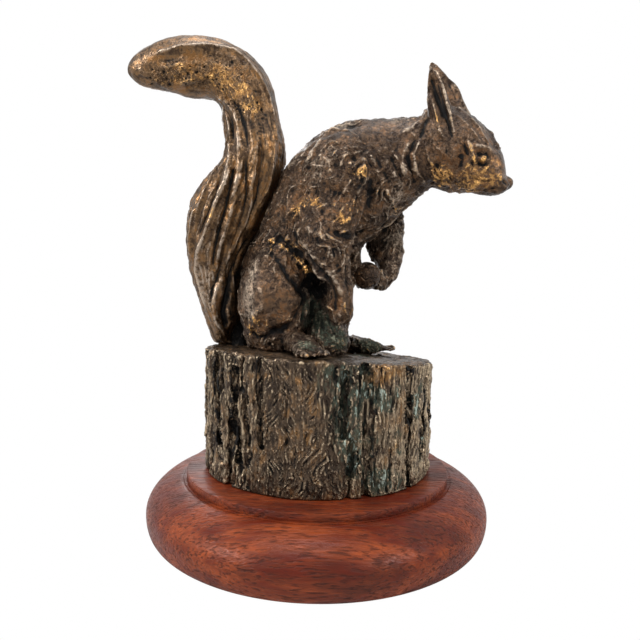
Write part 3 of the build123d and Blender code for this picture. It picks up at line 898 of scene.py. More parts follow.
@dataclass(frozen=True)
class Bronze:
    """Cast bronze under a brown patina rubbed through on its ridges, with painted highlight and shade."""

    name: str
    umber: Colour = rgb(46, 34, 26)
    tan: Colour = rgb(100, 78, 59)
    amber: Colour = rgb(108, 69, 34)
    worn_sheen: Colour = rgb(184, 166, 146)
    gold: Colour = rgb(200, 154, 94)
    soot_and_shade: Colour = rgb(8, 6, 5)
    verdigris: Colour = rgb(52, 64, 52)
    turquoise: Colour = rgb(184, 202, 190)
    stretch: float = 1.0
    gold_at: float = 0.61
    tooling: float = 0.42

    def make(self) -> bpy.types.Material:
        """Build the material, which reads the levels that the carving left in its mesh."""
        finish = Finish(self.name)
        crest, hollow, rubbed, sheen, brown, green, worked = (
            finish.attribute(name)
            for name in ("crest", "hollow", "rubbed", "sheen", "brown", "green", "worked")
        )
        upright = finish.stretched((1.0, 1.0, self.stretch))
        broad = finish.noise(9.0, 4.0, warp=0.6).step(0.32, 0.68)
        fine = finish.noise(2.0, 4.0, upright, warp=0.8).step(0.32, 0.68)
        curls = finish.noise(4.2, 2.0, upright, warp=1.4).line(0.09)
        threads = finish.noise(2.0, 2.0, upright, warp=0.8).line(0.12)
        pits = finish.noise(1.0, 2.0, upright).step(0.58, 0.70)
        burrs = (curls + threads * 0.6) * worked
        specks = finish.noise(0.7, 4.0)
        flecks = finish.noise(1.3, 2.0).step(0.58, 0.68) * worked
        # the brown ground, and where it glows amber
        warm = brown * 0.6 + crest * 0.25 + (broad - 0.5) * 0.6 + (fine - 0.5) * 0.6
        colour = finish.blend(warm.step(-0.40, 0.75), self.umber, self.tan)
        glow = (brown * 0.7 + (broad - 0.5) * 0.8 + (fine - 0.5) * 0.8).step(0.25, 1.00)
        colour = finish.blend(glow * 0.65, colour, self.amber)
        # ridges and the sheen patches painted lighter as a painted highlight, which also stands for wear,
        # and rubbed through to gold
        sheen_level = crest * 0.8 + burrs * 0.30 + sheen * 0.6 + (fine - 0.5) * 0.35 - brown * 0.15
        colour = finish.blend(sheen_level.step(0.30, 1.15) * 0.80, colour, self.worn_sheen)
        wear = crest * 0.5 + rubbed * 0.5 + brown * 0.1 + burrs * 0.18 + flecks * 0.22
        wear = wear + (fine - 0.5) * 0.28 + (broad - 0.5) * 0.18
        bright = wear.step(self.gold_at, self.gold_at + 0.30)
        colour = finish.blend(bright, colour, self.gold)
        # dark patina in the hollows, and painted shade there and in the painted shade patches
        dark = hollow + pits * worked * 0.30 + (fine - 0.5) * 0.30 - (broad - 0.5) * 0.20
        dark = (dark - crest * 0.5 - burrs * 0.20).step(0.12, 0.80)
        colour = finish.blend(dark, colour, self.soot_and_shade)
        # green patina, turquoise where it is thickest
        mould = green + (broad - 0.5) * 0.3 + (fine - 0.5) * 0.5 - crest * 0.55 - burrs * 0.35
        mould = mould.step(0.28, 0.90)
        pale = (green * 0.95 + (fine - 0.5) * 0.9 + (broad - 0.5) * 0.3).step(1.12, 1.42)
        oxide = finish.blend(pale, self.verdigris, self.turquoise)
        colour = finish.blend(mould * (1 - dark * 0.55) * 0.85, colour, oxide)
        tooled = finish.bump(burrs - pits * worked, self.tooling)
        finish.set(
            Base_Color=colour,
            Metallic=(0.70 + bright * 0.30) * (1 - mould * 0.85) - dark * 0.25,
            Roughness=0.31 + (fine - 0.5) * 0.08 + mould * 0.40 + dark * 0.30 - bright * 0.04,
            Specular_IOR_Level=0.30,
            Normal=finish.bump(specks, 0.05, tooled),
        )
        return finish.material


@dataclass(frozen=True)
class Mahogany:
    """Red-brown hardwood with short dark pores under a satin varnish."""

    name: str
    heart: Colour = rgb(88, 27, 12)
    pale: Colour = rgb(150, 70, 34)
    dark: Colour = rgb(52, 16, 10)
    pore: Colour = rgb(38, 14, 10)

    def make(self) -> bpy.types.Material:
        """Build the material, whose grain runs level from side to side."""
        finish = Finish(self.name)
        lie = (0.0, math.radians(4.0), math.radians(12.0))
        figure = finish.noise(34.0, 4.0, finish.stretched((0.4, 1.5, 1.5), lie), warp=0.9)
        streak = finish.noise(4.0, 4.0, finish.stretched((0.15, 1.0, 1.0), lie), warp=0.3)
        pores = finish.noise(1.0, 2.0, finish.stretched((0.14, 1.0, 1.0), lie), warp=0.1)
        lines = finish.noise(1.6, 2.0, finish.stretched((0.10, 1.0, 1.0), lie), warp=0.2).line(0.14)
        mottle = finish.noise(16.0, 3.0)
        figure, mottle = figure.step(0.34, 0.66), mottle.step(0.34, 0.66)
        tone = (figure * 0.30 + (streak - 0.5) * 2.0 + mottle * 0.25).step(-0.25, 1.00)
        colour = finish.blend(tone, self.heart, self.pale)
        shade = (1.0 - figure) * 0.55 + mottle * 0.45 + (streak - 0.5) * 0.8
        colour = finish.blend(shade.step(0.45, 1.10) * 0.70, colour, self.dark)
        open_pores = (pores.step(0.50, 0.64) * 0.8 + lines * 0.5) * streak.step(0.25, 0.50)
        colour = finish.blend(open_pores * 0.60, colour, self.pore)
        finish.set(
            Base_Color=colour,
            Roughness=0.34 + (streak - 0.5) * 0.12 + open_pores * 0.25,
            Specular_IOR_Level=0.16,
            Coat_Weight=0.04,
            Coat_Roughness=0.25,
            Normal=finish.bump(streak * 0.3 - open_pores, 0.16),
        )
        return finish.material


@dataclass(frozen=True)
class Baize:
    """Green woollen cloth."""

    name: str
    wool: Colour = rgb(38, 66, 48)
    nap: Colour = rgb(62, 92, 68)

    def make(self) -> bpy.types.Material:
        """Build the material from a fine nap."""
        finish = Finish(self.name)
        fibres = finish.noise(0.5, 4.0, warp=1.5)
        finish.set(
            Base_Color=finish.blend(fibres, self.wool, self.nap),
            Roughness=0.95,
            Normal=finish.bump(fibres, 0.2),
        )
        return finish.material


@dataclass(frozen=True)
class Steel:
    """Plain turned steel of the hidden fixings."""

    name: str
    bright: Colour = rgb(176, 176, 180)
    dull: Colour = rgb(128, 126, 124)

    def make(self) -> bpy.types.Material:
        """Build the material from fine turning marks."""
        finish = Finish(self.name)
        marks = finish.noise(0.6, 3.0, finish.stretched((0.3, 0.3, 3.0)))
        finish.set(
            Base_Color=finish.blend(marks, self.dull, self.bright),
            Metallic=1.0,
            Roughness=0.3 + marks * 0.15,
            Normal=finish.bump(marks, 0.02),
        )
        return finish.material


# ---------------------------------------------------------------- the figure

HEAD_NODES = ("head", "near_ear", "far_ear")
UPPER_NODES = ("torso", "near_foreleg", "far_foreleg")
LOWER_NODES = ("near_haunch", "far_haunch", "near_hind_foot", "far_hind_foot")
PLUGS = ("neck_dowel", "tail_dowel")


@dataclass
class Casting:
    """A carved piece of bronze.

    The voxel is the size of its faces in millimetres, melt is how many rounds its fused sections are
    smoothed, and ridges is how many rounds away its fine and its broad ridges are looked for.
    """

    voxel: float
    melt: int
    ridges: tuple[int, int]

    def fused(self, name: str, *sources: bpy.types.Mesh) -> Relief:
        """The sections fused into one surface and smoothed."""
        relief = Relief(scraped(name, self.voxel, *sources))
        relief.soften(self.melt)
        return relief

    def raised(self, relief: Relief) -> tuple[np.ndarray, np.ndarray]:
        """How far each point stands out on a fine and on a broad ridge."""
        fine, broad = (relief.convexity(rounds) for rounds in self.ridges)
        return fine, broad


@dataclass
class Squirrel(Casting):
    """The chased bronze body, from rump to nose, with its limbs and ears."""

    voxel: float = 0.56
    melt: int = 14
    ridges: tuple[int, int] = (7, 36)
    yaw: float = 18.0
    shift: float = 5.0
    lumps: tuple[Lump, ...] = (
        # the mass under the belly, the far shin, the near wrist, the tail's root, the far toes,
        # the far ear and the nose
        Lump((7.0, -7.0, 110.0), (11.0, 13.0, 20.0)),
        Lump((9.0, -13.0, 102.0), (13.0, 13.0, 13.0)),
        Lump((4.0, 20.0, 108.0), (8.0, 8.0, 15.0), (0.0, 25.0, 0.0)),
        Lump((22.5, -7.5, 150.0), (4.8, 4.8, 9.0)),
        Lump((-51.0, -4.0, 101.0), (7.0, 7.0, 14.0)),
        Lump((26.0, 16.0, 98.5), (11.0, 6.0, 4.5), (0.0, 8.0, 0.0)),
        Lump((75.0, 10.0, 246.0), (5.0, 2.0, 11.0), (0.0, -24.0, 0.0)),
        Lump((104.0, 0.0, 190.5), (4.2, 4.5, 3.8)),
    )
    strokes: tuple[Stroke, ...] = (
        # shoulder blade, neck and chest
        Stroke(1.3, 2.0, ((304.8, 167.4), (314.7, 149.6), (326.5, 134.8), (340.4, 126.9))),
        Stroke(-1.4, 2.0, ((299, 176), (305, 158), (317, 141))),
        Stroke(1.2, 1.1, ((363, 159.5), (362, 174), (365, 179), (358, 194))),
        Stroke(1.1, 1.0, ((380.9, 184.2), (376.9, 192), (376.9, 202))),
        Stroke(1.1, 1.0, ((380.9, 184.2), (391.8, 199), (396.7, 213.9))),
        Stroke(-1.5, 2.0, ((370, 178), (371, 195), (368, 212))),
        Stroke(-1.2, 1.8, ((384, 171), (390, 183), (399, 191))),
        Stroke(-1.0, 1.8, ((374, 150), (378, 160), (383, 171))),
        Stroke(1.0, 1.8, ((303.8, 225.7), (314.7, 233.6), (327.5, 237.6), (340.4, 240.5))),
        Stroke(-2.0, 1.6, ((332.5, 229.7), (340.4, 235.6), (354.2, 236.6), (367, 230.7))),
        Stroke(1.2, 1.6, ((356, 243), (374, 233.6), (390, 222), (399, 213))),
        Stroke(-1.3, 1.5, ((420, 135), (412, 142), (411, 152))),
        Stroke(-1.0, 1.3, ((404, 150), (410, 168), (416, 182))),
        Stroke(1.0, 1.4, ((399, 135), (412, 128), (424, 117))),
        Stroke(-1.0, 1.5, ((342, 140), (352, 150), (356, 165))),
        Stroke(-1.2, 1.8, ((322, 178), (330, 190), (345, 196))),
        Stroke(1.0, 0.9, ((313, 147), (322, 136), (334, 130), (347, 130), (358, 137), (362, 146))),
        Stroke(1.2, 0.9, ((363, 160), (366, 172), (364, 184), (357, 194))),
        Stroke(0.9, 0.8, ((361, 163), (358, 174), (361, 186))),
        Stroke(0.9, 0.8, ((294, 228), (300, 240), (310, 250), (318, 262))),
        Stroke(0.8, 0.8, ((303, 226), (298, 232), (302, 246), (316, 258), (330, 268))),
        Stroke(0.9, 0.8, ((300, 160), (307, 150), (312, 144))),
        Stroke(0.8, 0.8, ((346, 204), (340, 212), (343, 222), (352, 218), (350, 210))),
        Stroke(0.8, 0.8, ((320, 208), (330, 203), (338, 206))),
        Stroke(0.8, 0.8, ((411, 140), (404, 152), (402, 166), (408, 180))),
        Stroke(0.8, 0.8, ((420, 140), (414, 154), (416, 170), (424, 182))),
        Stroke(-1.0, 0.9, ((416, 140), (409, 154), (410, 170), (416, 184))),
        Stroke(-0.9, 0.9, ((398, 145), (392, 158), (398, 172), (408, 186))),
        Stroke(-2.6, 4.0, ((346, 125), (354, 123), (362, 123))),
        Stroke(1.8, 5.0, ((290, 166), (300, 157))),
        # flank and haunch
        Stroke(-3.2, 2.4, ((236.6, 296.4), (236.6, 279.8), (240.4, 263.3), (249.3, 244.1), (258.3, 232.7))),
        Stroke(1.3, 2.4, ((258.3, 285), (263.4, 296.4), (262, 308), (254.4, 314.3), (253.2, 327))),
        Stroke(-2.2, 1.9, ((267.2, 248), (277.4, 259.4), (286.3, 273.5), (296.5, 285), (304.2, 296.4))),
        Stroke(2.0, 1.6, ((268, 238), (286.3, 251), (301.6, 264), (310.3, 273.7))),
        Stroke(-1.6, 1.4, ((276, 236), (290, 246), (304, 258))),
        Stroke(-3.0, 2.2, ((309.3, 276), (304.2, 286.2), (306.7, 299), (301.6, 309.2), (292.7, 323.2),
                           (281.2, 329.6), (268.5, 333.4))),
        Stroke(-1.8, 1.8, ((248, 330.9), (257, 338), (271, 336))),
        # near foreleg
        Stroke(-2.8, 2.2, ((296.5, 232.7), (301.6, 248), (311.8, 263.3), (322, 276), (331, 287.5),
                           (334, 298), (331, 314.3))),
        Stroke(1.0, 2.4, ((303, 236), (312, 252), (322, 266), (334, 280), (342, 296), (342, 314))),
        Stroke(-1.4, 1.8, ((352, 254), (347, 268), (348, 282), (352, 294))),
        Stroke(-1.0, 1.6, ((330, 245), (336, 260), (342, 275))),
        # the striated mass and the dark opening under the belly
        Stroke(-1.0, 0.7, ((308, 296), (305, 312), (300, 326))),
        Stroke(-1.0, 0.7, ((313, 298), (312, 314), (310, 332))),
        Stroke(-1.0, 0.7, ((320, 303), (321, 318), (324, 332))),
        Stroke(-1.0, 0.7, ((317, 312), (318, 326), (316, 340))),
        Stroke(-1.0, 0.7, ((327, 312), (331, 326), (338, 338))),
        Stroke(0.8, 0.6, ((310, 297), (308, 313), (305, 330))),
        Stroke(0.8, 0.6, ((317, 300), (316, 316), (320, 334))),
        Stroke(-6.0, 4.2, ((314, 281), (320, 286))),
        Stroke(-9.0, 4.4, ((318, 286), (323, 292), (325, 296))),
        # head
        Stroke(-1.7, 1.0, ((477, 160), (478, 155), (482, 152.5), (486.5, 153.5), (489, 158))),
        Stroke(-1.7, 1.0, ((477, 160), (479, 164), (483.5, 165.8), (488, 163))),
        Stroke(1.4, 1.9, ((483, 159.2),)),
        Stroke(1.5, 1.5, ((470.6, 146), (479, 146), (488, 148.4), (494, 154))),
        Stroke(-1.4, 1.2, ((463, 140), (467, 149), (471, 158))),
        Stroke(1.2, 1.2, ((466.5, 138), (470, 147), (474, 157), (476, 166))),
        Stroke(-0.8, 1.1, ((474, 178), (484, 182), (494, 181))),
        Stroke(-1.1, 1.2, ((469.4, 143.5), (476.3, 136.5))),
        Stroke(-1.0, 1.2, ((484, 142), (489, 146))),
        Stroke(-0.7, 0.9, ((479, 194.3), (486, 190.5), (494, 189), (504, 189))),
        Stroke(-1.1, 0.9, ((503.5, 181.5), (507.5, 183.5))),
        Stroke(0.8, 2.2, ((496, 175), (504, 180))),
        Stroke(-0.8, 5.0, ((483, 126), (492, 139), (499, 152))),
        Stroke(-1.2, 3.2, ((502, 195), (507, 193), (510, 190))),
        Stroke(0.9, 0.9, ((452, 106), (466, 114), (480, 128), (490, 145))),
        Stroke(0.8, 0.8, ((450, 112), (462, 120), (474, 132), (482, 144))),
        Stroke(0.9, 0.9, ((424, 142), (430, 160), (440, 178), (452, 188))),
        Stroke(0.7, 0.8, ((428, 128), (436, 146), (448, 158))),
        Stroke(-1.2, 1.5, ((470, 158), (474, 166), (481, 171))),
        Stroke(0.9, 2.4, ((455, 186), (468, 189), (478, 185))),
        Stroke(-1.2, 1.7, ((433, 160), (436, 174), (444, 184))),
        Stroke(-1.0, 1.6, ((459, 150), (463, 160), (460, 170))),
        # ears
        Stroke(-2.0, 1.6, ((431.5, 80), (434, 92), (439.5, 106), (445, 120))),
        Stroke(0.8, 0.7, ((432.6, 97.6), (436, 113.7), (439.5, 127.5), (445.3, 141.3))),
        Stroke(0.8, 0.7, ((430.5, 68), (437.5, 72.5), (442.5, 84), (446, 100), (451, 118), (455, 138))),
        Stroke(-1.6, 1.2, ((429.5, 77), (431, 84))),
        Stroke(-1.6, 1.2, ((427.5, 90), (428.5, 96))),
        Stroke(-1.2, 1.0, ((437, 80), (441.5, 96), (445.5, 112), (449.5, 128))),
        Stroke(-1.8, 1.4, ((448, 122), (451, 132), (454.5, 140))),
        Stroke(-1.2, 1.2, ((427, 116), (422, 130), (420, 140))),
        Stroke(-1.0, 1.3, ((447, 80), (454, 94), (458, 104))),
        Stroke(0.7, 0.9, ((427.5, 74), (427, 86), (428, 98), (430, 108))),
    )
    flows: tuple[Path, ...] = (
        ((283, 160), (315, 142), (355, 123), (402, 121), (428, 114)),
        ((262, 235), (280, 200), (310, 170), (345, 150), (400, 150), (436, 150)),
        ((330, 240), (365, 233), (398, 210), (440, 188)),
        ((345, 150), (335, 190), (325, 225), (330, 260), (340, 300), (341, 318)),
        ((375, 150), (375, 190), (380, 222)),
        ((262, 240), (248, 265), (243, 300), (252, 333)),
        ((290, 245), (280, 280), (275, 328)),
        ((300, 262), (300, 300), (288, 322)),
        ((392, 225), (396, 250), (390, 274)),
        ((410, 125), (420, 160), (425, 186)),
        ((438, 128), (440, 150), (447, 185)),
        ((505, 175), (485, 150), (462, 122)),
        ((502, 190), (475, 185), (445, 180)),
        ((448, 130), (437, 92), (433, 74)),
        ((458, 104), (452, 84), (440, 68)),
        ((336, 332), (360, 340), (386, 350)),
        ((312, 300), (310, 315), (306, 340)),
    )
    blades: tuple[Blade, ...] = (
        Blade(420, (9.0, 18.0), (2.6, 4.4), 0.65, 0.45, 0.20),
        Blade(700, (4.0, 10.0), (1.4, 2.4), 0.60, 0.50, 0.32),
        Blade(550, (2.5, 6.0), (0.9, 1.3), 0.50, 0.55, 0.50),
    )
    calms: tuple[Patch, ...] = (
        Patch(276, 300, 17, 0.8), Patch(344, 290, 13, 0.5), Patch(470, 165, 16, 0.45),
        Patch(500, 172, 9, 0.5), Patch(440, 100, 14, 0.5), Patch(455, 95, 12, 0.6),
        Patch(395, 265, 10, 0.6), Patch(365, 212, 8, 0.3), Patch(420, 160, 12, 0.4),
        Patch(432, 84, 8, 0.8), Patch(438, 112, 9, 0.7), Patch(457, 100, 9, 0.8), Patch(445, 78, 8, 0.8),
        Patch(472, 120, 10, 0.7), Patch(488, 138, 8, 0.6), Patch(506, 183, 8, 0.8), Patch(505, 165, 6, 0.5),
        Patch(300, 152, 11, 0.5), Patch(325, 138, 11, 0.6), Patch(352, 130, 11, 0.6),
        Patch(382, 124, 11, 0.6), Patch(408, 130, 10, 0.6), Patch(270, 180, 9, 0.4),
        Patch(252, 285, 9, 0.6),
    )
    rubs: tuple[Patch, ...] = (
        Patch(468, 184, 8, 1.1), Patch(498, 178, 8, 1.1), Patch(442, 172, 6, 0.9),
        Patch(442, 184, 6, 0.9), Patch(474, 166, 6, 1.0), Patch(437, 118, 5, 0.9), Patch(494, 162, 5, 0.7),
        Patch(456, 120, 3, 0.8), Patch(362, 172, 4, 1.0), Patch(350, 172, 4, 0.8),
        Patch(318, 203, 5, 0.7), Patch(305, 203, 6, 0.8), Patch(296, 210, 5, 0.8),
        Patch(340, 215, 6, 0.5), Patch(394, 208, 4, 0.8), Patch(355, 205, 5, 0.5),
        Patch(290, 247, 5, 0.9), Patch(272, 246, 5, 0.9), Patch(300, 258, 5, 0.9),
        Patch(308, 272, 4, 1.0), Patch(262, 270, 5, 0.5), Patch(256, 305, 5, 0.5),
        Patch(250, 329, 5, 0.9), Patch(288, 310, 7, 0.5), Patch(258, 322, 6, 0.7),
        Patch(350, 308, 5, 0.7), Patch(345, 225, 6, 0.5), Patch(335, 150, 6, 0.4),
        Patch(372, 345, 5, 0.5), Patch(340, 347, 5, 0.5), Patch(430, 170, 6, 0.5),
    )
    browns: tuple[Patch, ...] = (
        Patch(280, 302, 13, 0.5), Patch(460, 172, 13, 1.0), Patch(490, 172, 11, 0.9),
        Patch(288, 212, 12, 0.6), Patch(345, 302, 10, 0.6), Patch(330, 185, 16, 0.4),
        Patch(292, 262, 8, 0.6), Patch(255, 325, 7, 0.5), Patch(340, 225, 9, 0.4),
    )
    sheens: tuple[Patch, ...] = (
        Patch(255, 262, 5, 0.6), Patch(252, 274, 5, 0.8), Patch(249, 288, 6, 0.9), Patch(248, 302, 6, 0.9),
        Patch(250, 316, 5, 0.6), Patch(262, 188, 7, 0.6), Patch(275, 168, 7, 0.8), Patch(295, 148, 7, 0.8),
        Patch(318, 132, 7, 0.8), Patch(345, 124, 7, 0.8), Patch(372, 118, 8, 0.9), Patch(395, 120, 8, 0.7),
        Patch(412, 128, 8, 0.5), Patch(398, 192, 6, 0.7), Patch(394, 208, 5, 0.6), Patch(468, 110, 7, 0.7),
        Patch(482, 128, 6, 0.6), Patch(335, 280, 6, 0.3), Patch(345, 262, 6, 0.3), Patch(400, 240, 9, 0.8),
        Patch(393, 270, 9, 0.6), Patch(322, 160, 9, 0.5), Patch(455, 85, 7, 0.4), Patch(310, 185, 8, 0.3),
    )
    # painted shade: patches darkened where shade falls on the flank, under the belly, between the haunch and
    # the tail, and on the head and ears
    shade_patches: tuple[Patch, ...] = (
        Patch(300, 240, 9, 0.40), Patch(283, 232, 9, 0.30), Patch(328, 255, 8, 0.30),
        Patch(318, 290, 8, 0.6), Patch(310, 270, 6, 0.4), Patch(240, 320, 8, 0.9),
        Patch(238, 335, 7, 0.9), Patch(236, 346, 6, 0.9), Patch(262, 252, 5, 0.4),
        Patch(434, 100, 4, 0.4), Patch(442, 115, 4, 0.4), Patch(368, 240, 6, 0.4), Patch(445, 150, 6, 0.3),
        Patch(455, 170, 5, 0.35), Patch(481, 176, 4, 0.3), Patch(490, 187, 5, 0.35), Patch(461, 158, 5, 0.3),
    )
    greens: tuple[Patch, ...] = (
        Patch(312, 302, 7, 0.9), Patch(308, 318, 8, 0.9), Patch(320, 322, 8, 0.9),
        Patch(300, 343, 8, 0.8), Patch(314, 348, 8, 0.6), Patch(345, 343, 9, 1.0),
        Patch(360, 346, 9, 1.0), Patch(330, 335, 8, 0.8), Patch(356, 255, 4, 0.5), Patch(376, 348, 7, 0.9),
    )
    noise: LatticeNoise = field(default_factory=lambda: LatticeNoise(seed=7))

    def place(self) -> Matrix:
        """The figure's own frame in the scene."""
        shift = Matrix.Translation((0.0, self.shift * MM, 0.0))
        return shift @ Matrix.Rotation(-math.radians(self.yaw), 4, "Z")

    def build(self) -> list[bpy.types.Object]:
        """Fuse the sections, chase the surface and set the pieces."""
        nodes = HEAD_NODES + UPPER_NODES + LOWER_NODES + PLUGS
        sections = [node_mesh(node) for node in nodes]
        lumps = [lump.mesh(self.place()) for lump in self.lumps]
        relief = self.fused("chased_body", *sections, *lumps)
        tree = relief.tree()
        lifted = summed(self.strokes, relief, tree)
        relief.push(lifted)
        relief.soften(2)
        self.chase(relief, tree)
        self.tarnish(relief, tree, lifted)
        relief.write()
        return self.divide(relief.mesh)

    def chase(self, relief: Relief, tree: BVHTree) -> None:
        """Work the fur and the tool marks into the surface."""
        flow = Flow(seen_points(tree, path, spacing=6.0) for path in self.flows)
        normals = relief.normals()
        lie = flow.at(relief.points, normals)
        lie = swayed(lie, normals, self.noise.fractal(relief.points / 11.0 + 40.0, 2) * 1.7)
        lumps = self.noise.fractal(relief.points / 10.0, 2)
        dabs = self.noise.fractal(relief.points / 4.2 + 80.0, 2)
        calm = 1.0 - np.clip(summed(self.calms, relief, tree), 0.0, 0.85)
        marks = Marks(relief, lie, seed=19)
        for blade in self.blades:
            marks.press(blade, calm + 0.05)
        relief.push(calm * (marks.height + dabs * 0.6) + lumps * (0.15 + 0.75 * calm))

    def tarnish(self, relief: Relief, tree: BVHTree, lifted: np.ndarray) -> None:
        """Work out where the metal is rubbed or green, where dark patina and painted shade lie, and where
        highlights are painted.
        """
        fine, broad = self.raised(relief)
        # raised strokes painted lighter as a painted highlight; cut strokes and the shade patches painted
        # dark as painted shade
        ridge = ramp(lifted, 0.35, 1.2) * 0.30
        relief.store("crest", ramp(fine * 0.9 + broad * 0.50, 0.04, 0.75) + ridge)
        painted_shade = summed(self.shade_patches, relief, tree)
        cut = ramp(-lifted, 0.5, 1.8) * 0.55
        relief.store("hollow", ramp(-fine * 1.1 - broad * 0.45, 0.05, 0.52) + painted_shade + cut)
        relief.store("sheen", summed(self.sheens, relief, tree))
        calm = np.clip(summed(self.calms, relief, tree), 0.0, 0.8)
        relief.store("worked", 1.0 - calm)
        relief.store("rubbed", summed(self.rubs, relief, tree))
        relief.store("brown", summed(self.browns, relief, tree))
        relief.store("green", summed(self.greens, relief, tree))

    def divide(self, mesh: bpy.types.Mesh) -> list[bpy.types.Object]:
        """Cut the figure into its three castings and set them."""
        finish = Bronze("rubbed_bronze", turquoise=rgb(132, 136, 116)).make()
        place = self.place()
        turned = place.to_3x3()
        neck = place @ Vector((0.064, 0.0, 0.215)), turned @ Vector((0.87, 0.0, -0.30)).normalized()
        waist = place @ Vector((0.0, 0.0, 0.150)), turned @ Vector((-0.25, 0.0, 1.0)).normalized()
        head = cut_apart(mesh, "head_and_ears", neck)
        upper = cut_apart(mesh, "upper_body", waist)
        mesh.name = "lower_body"
        pieces = []
        for part, nodes in ((head, HEAD_NODES), (upper, UPPER_NODES), (mesh, LOWER_NODES)):
            part = thinned(part)
            pieces.append(set_piece(part.name, part, Slot.FIGURE, finish, *nodes))
        return pieces


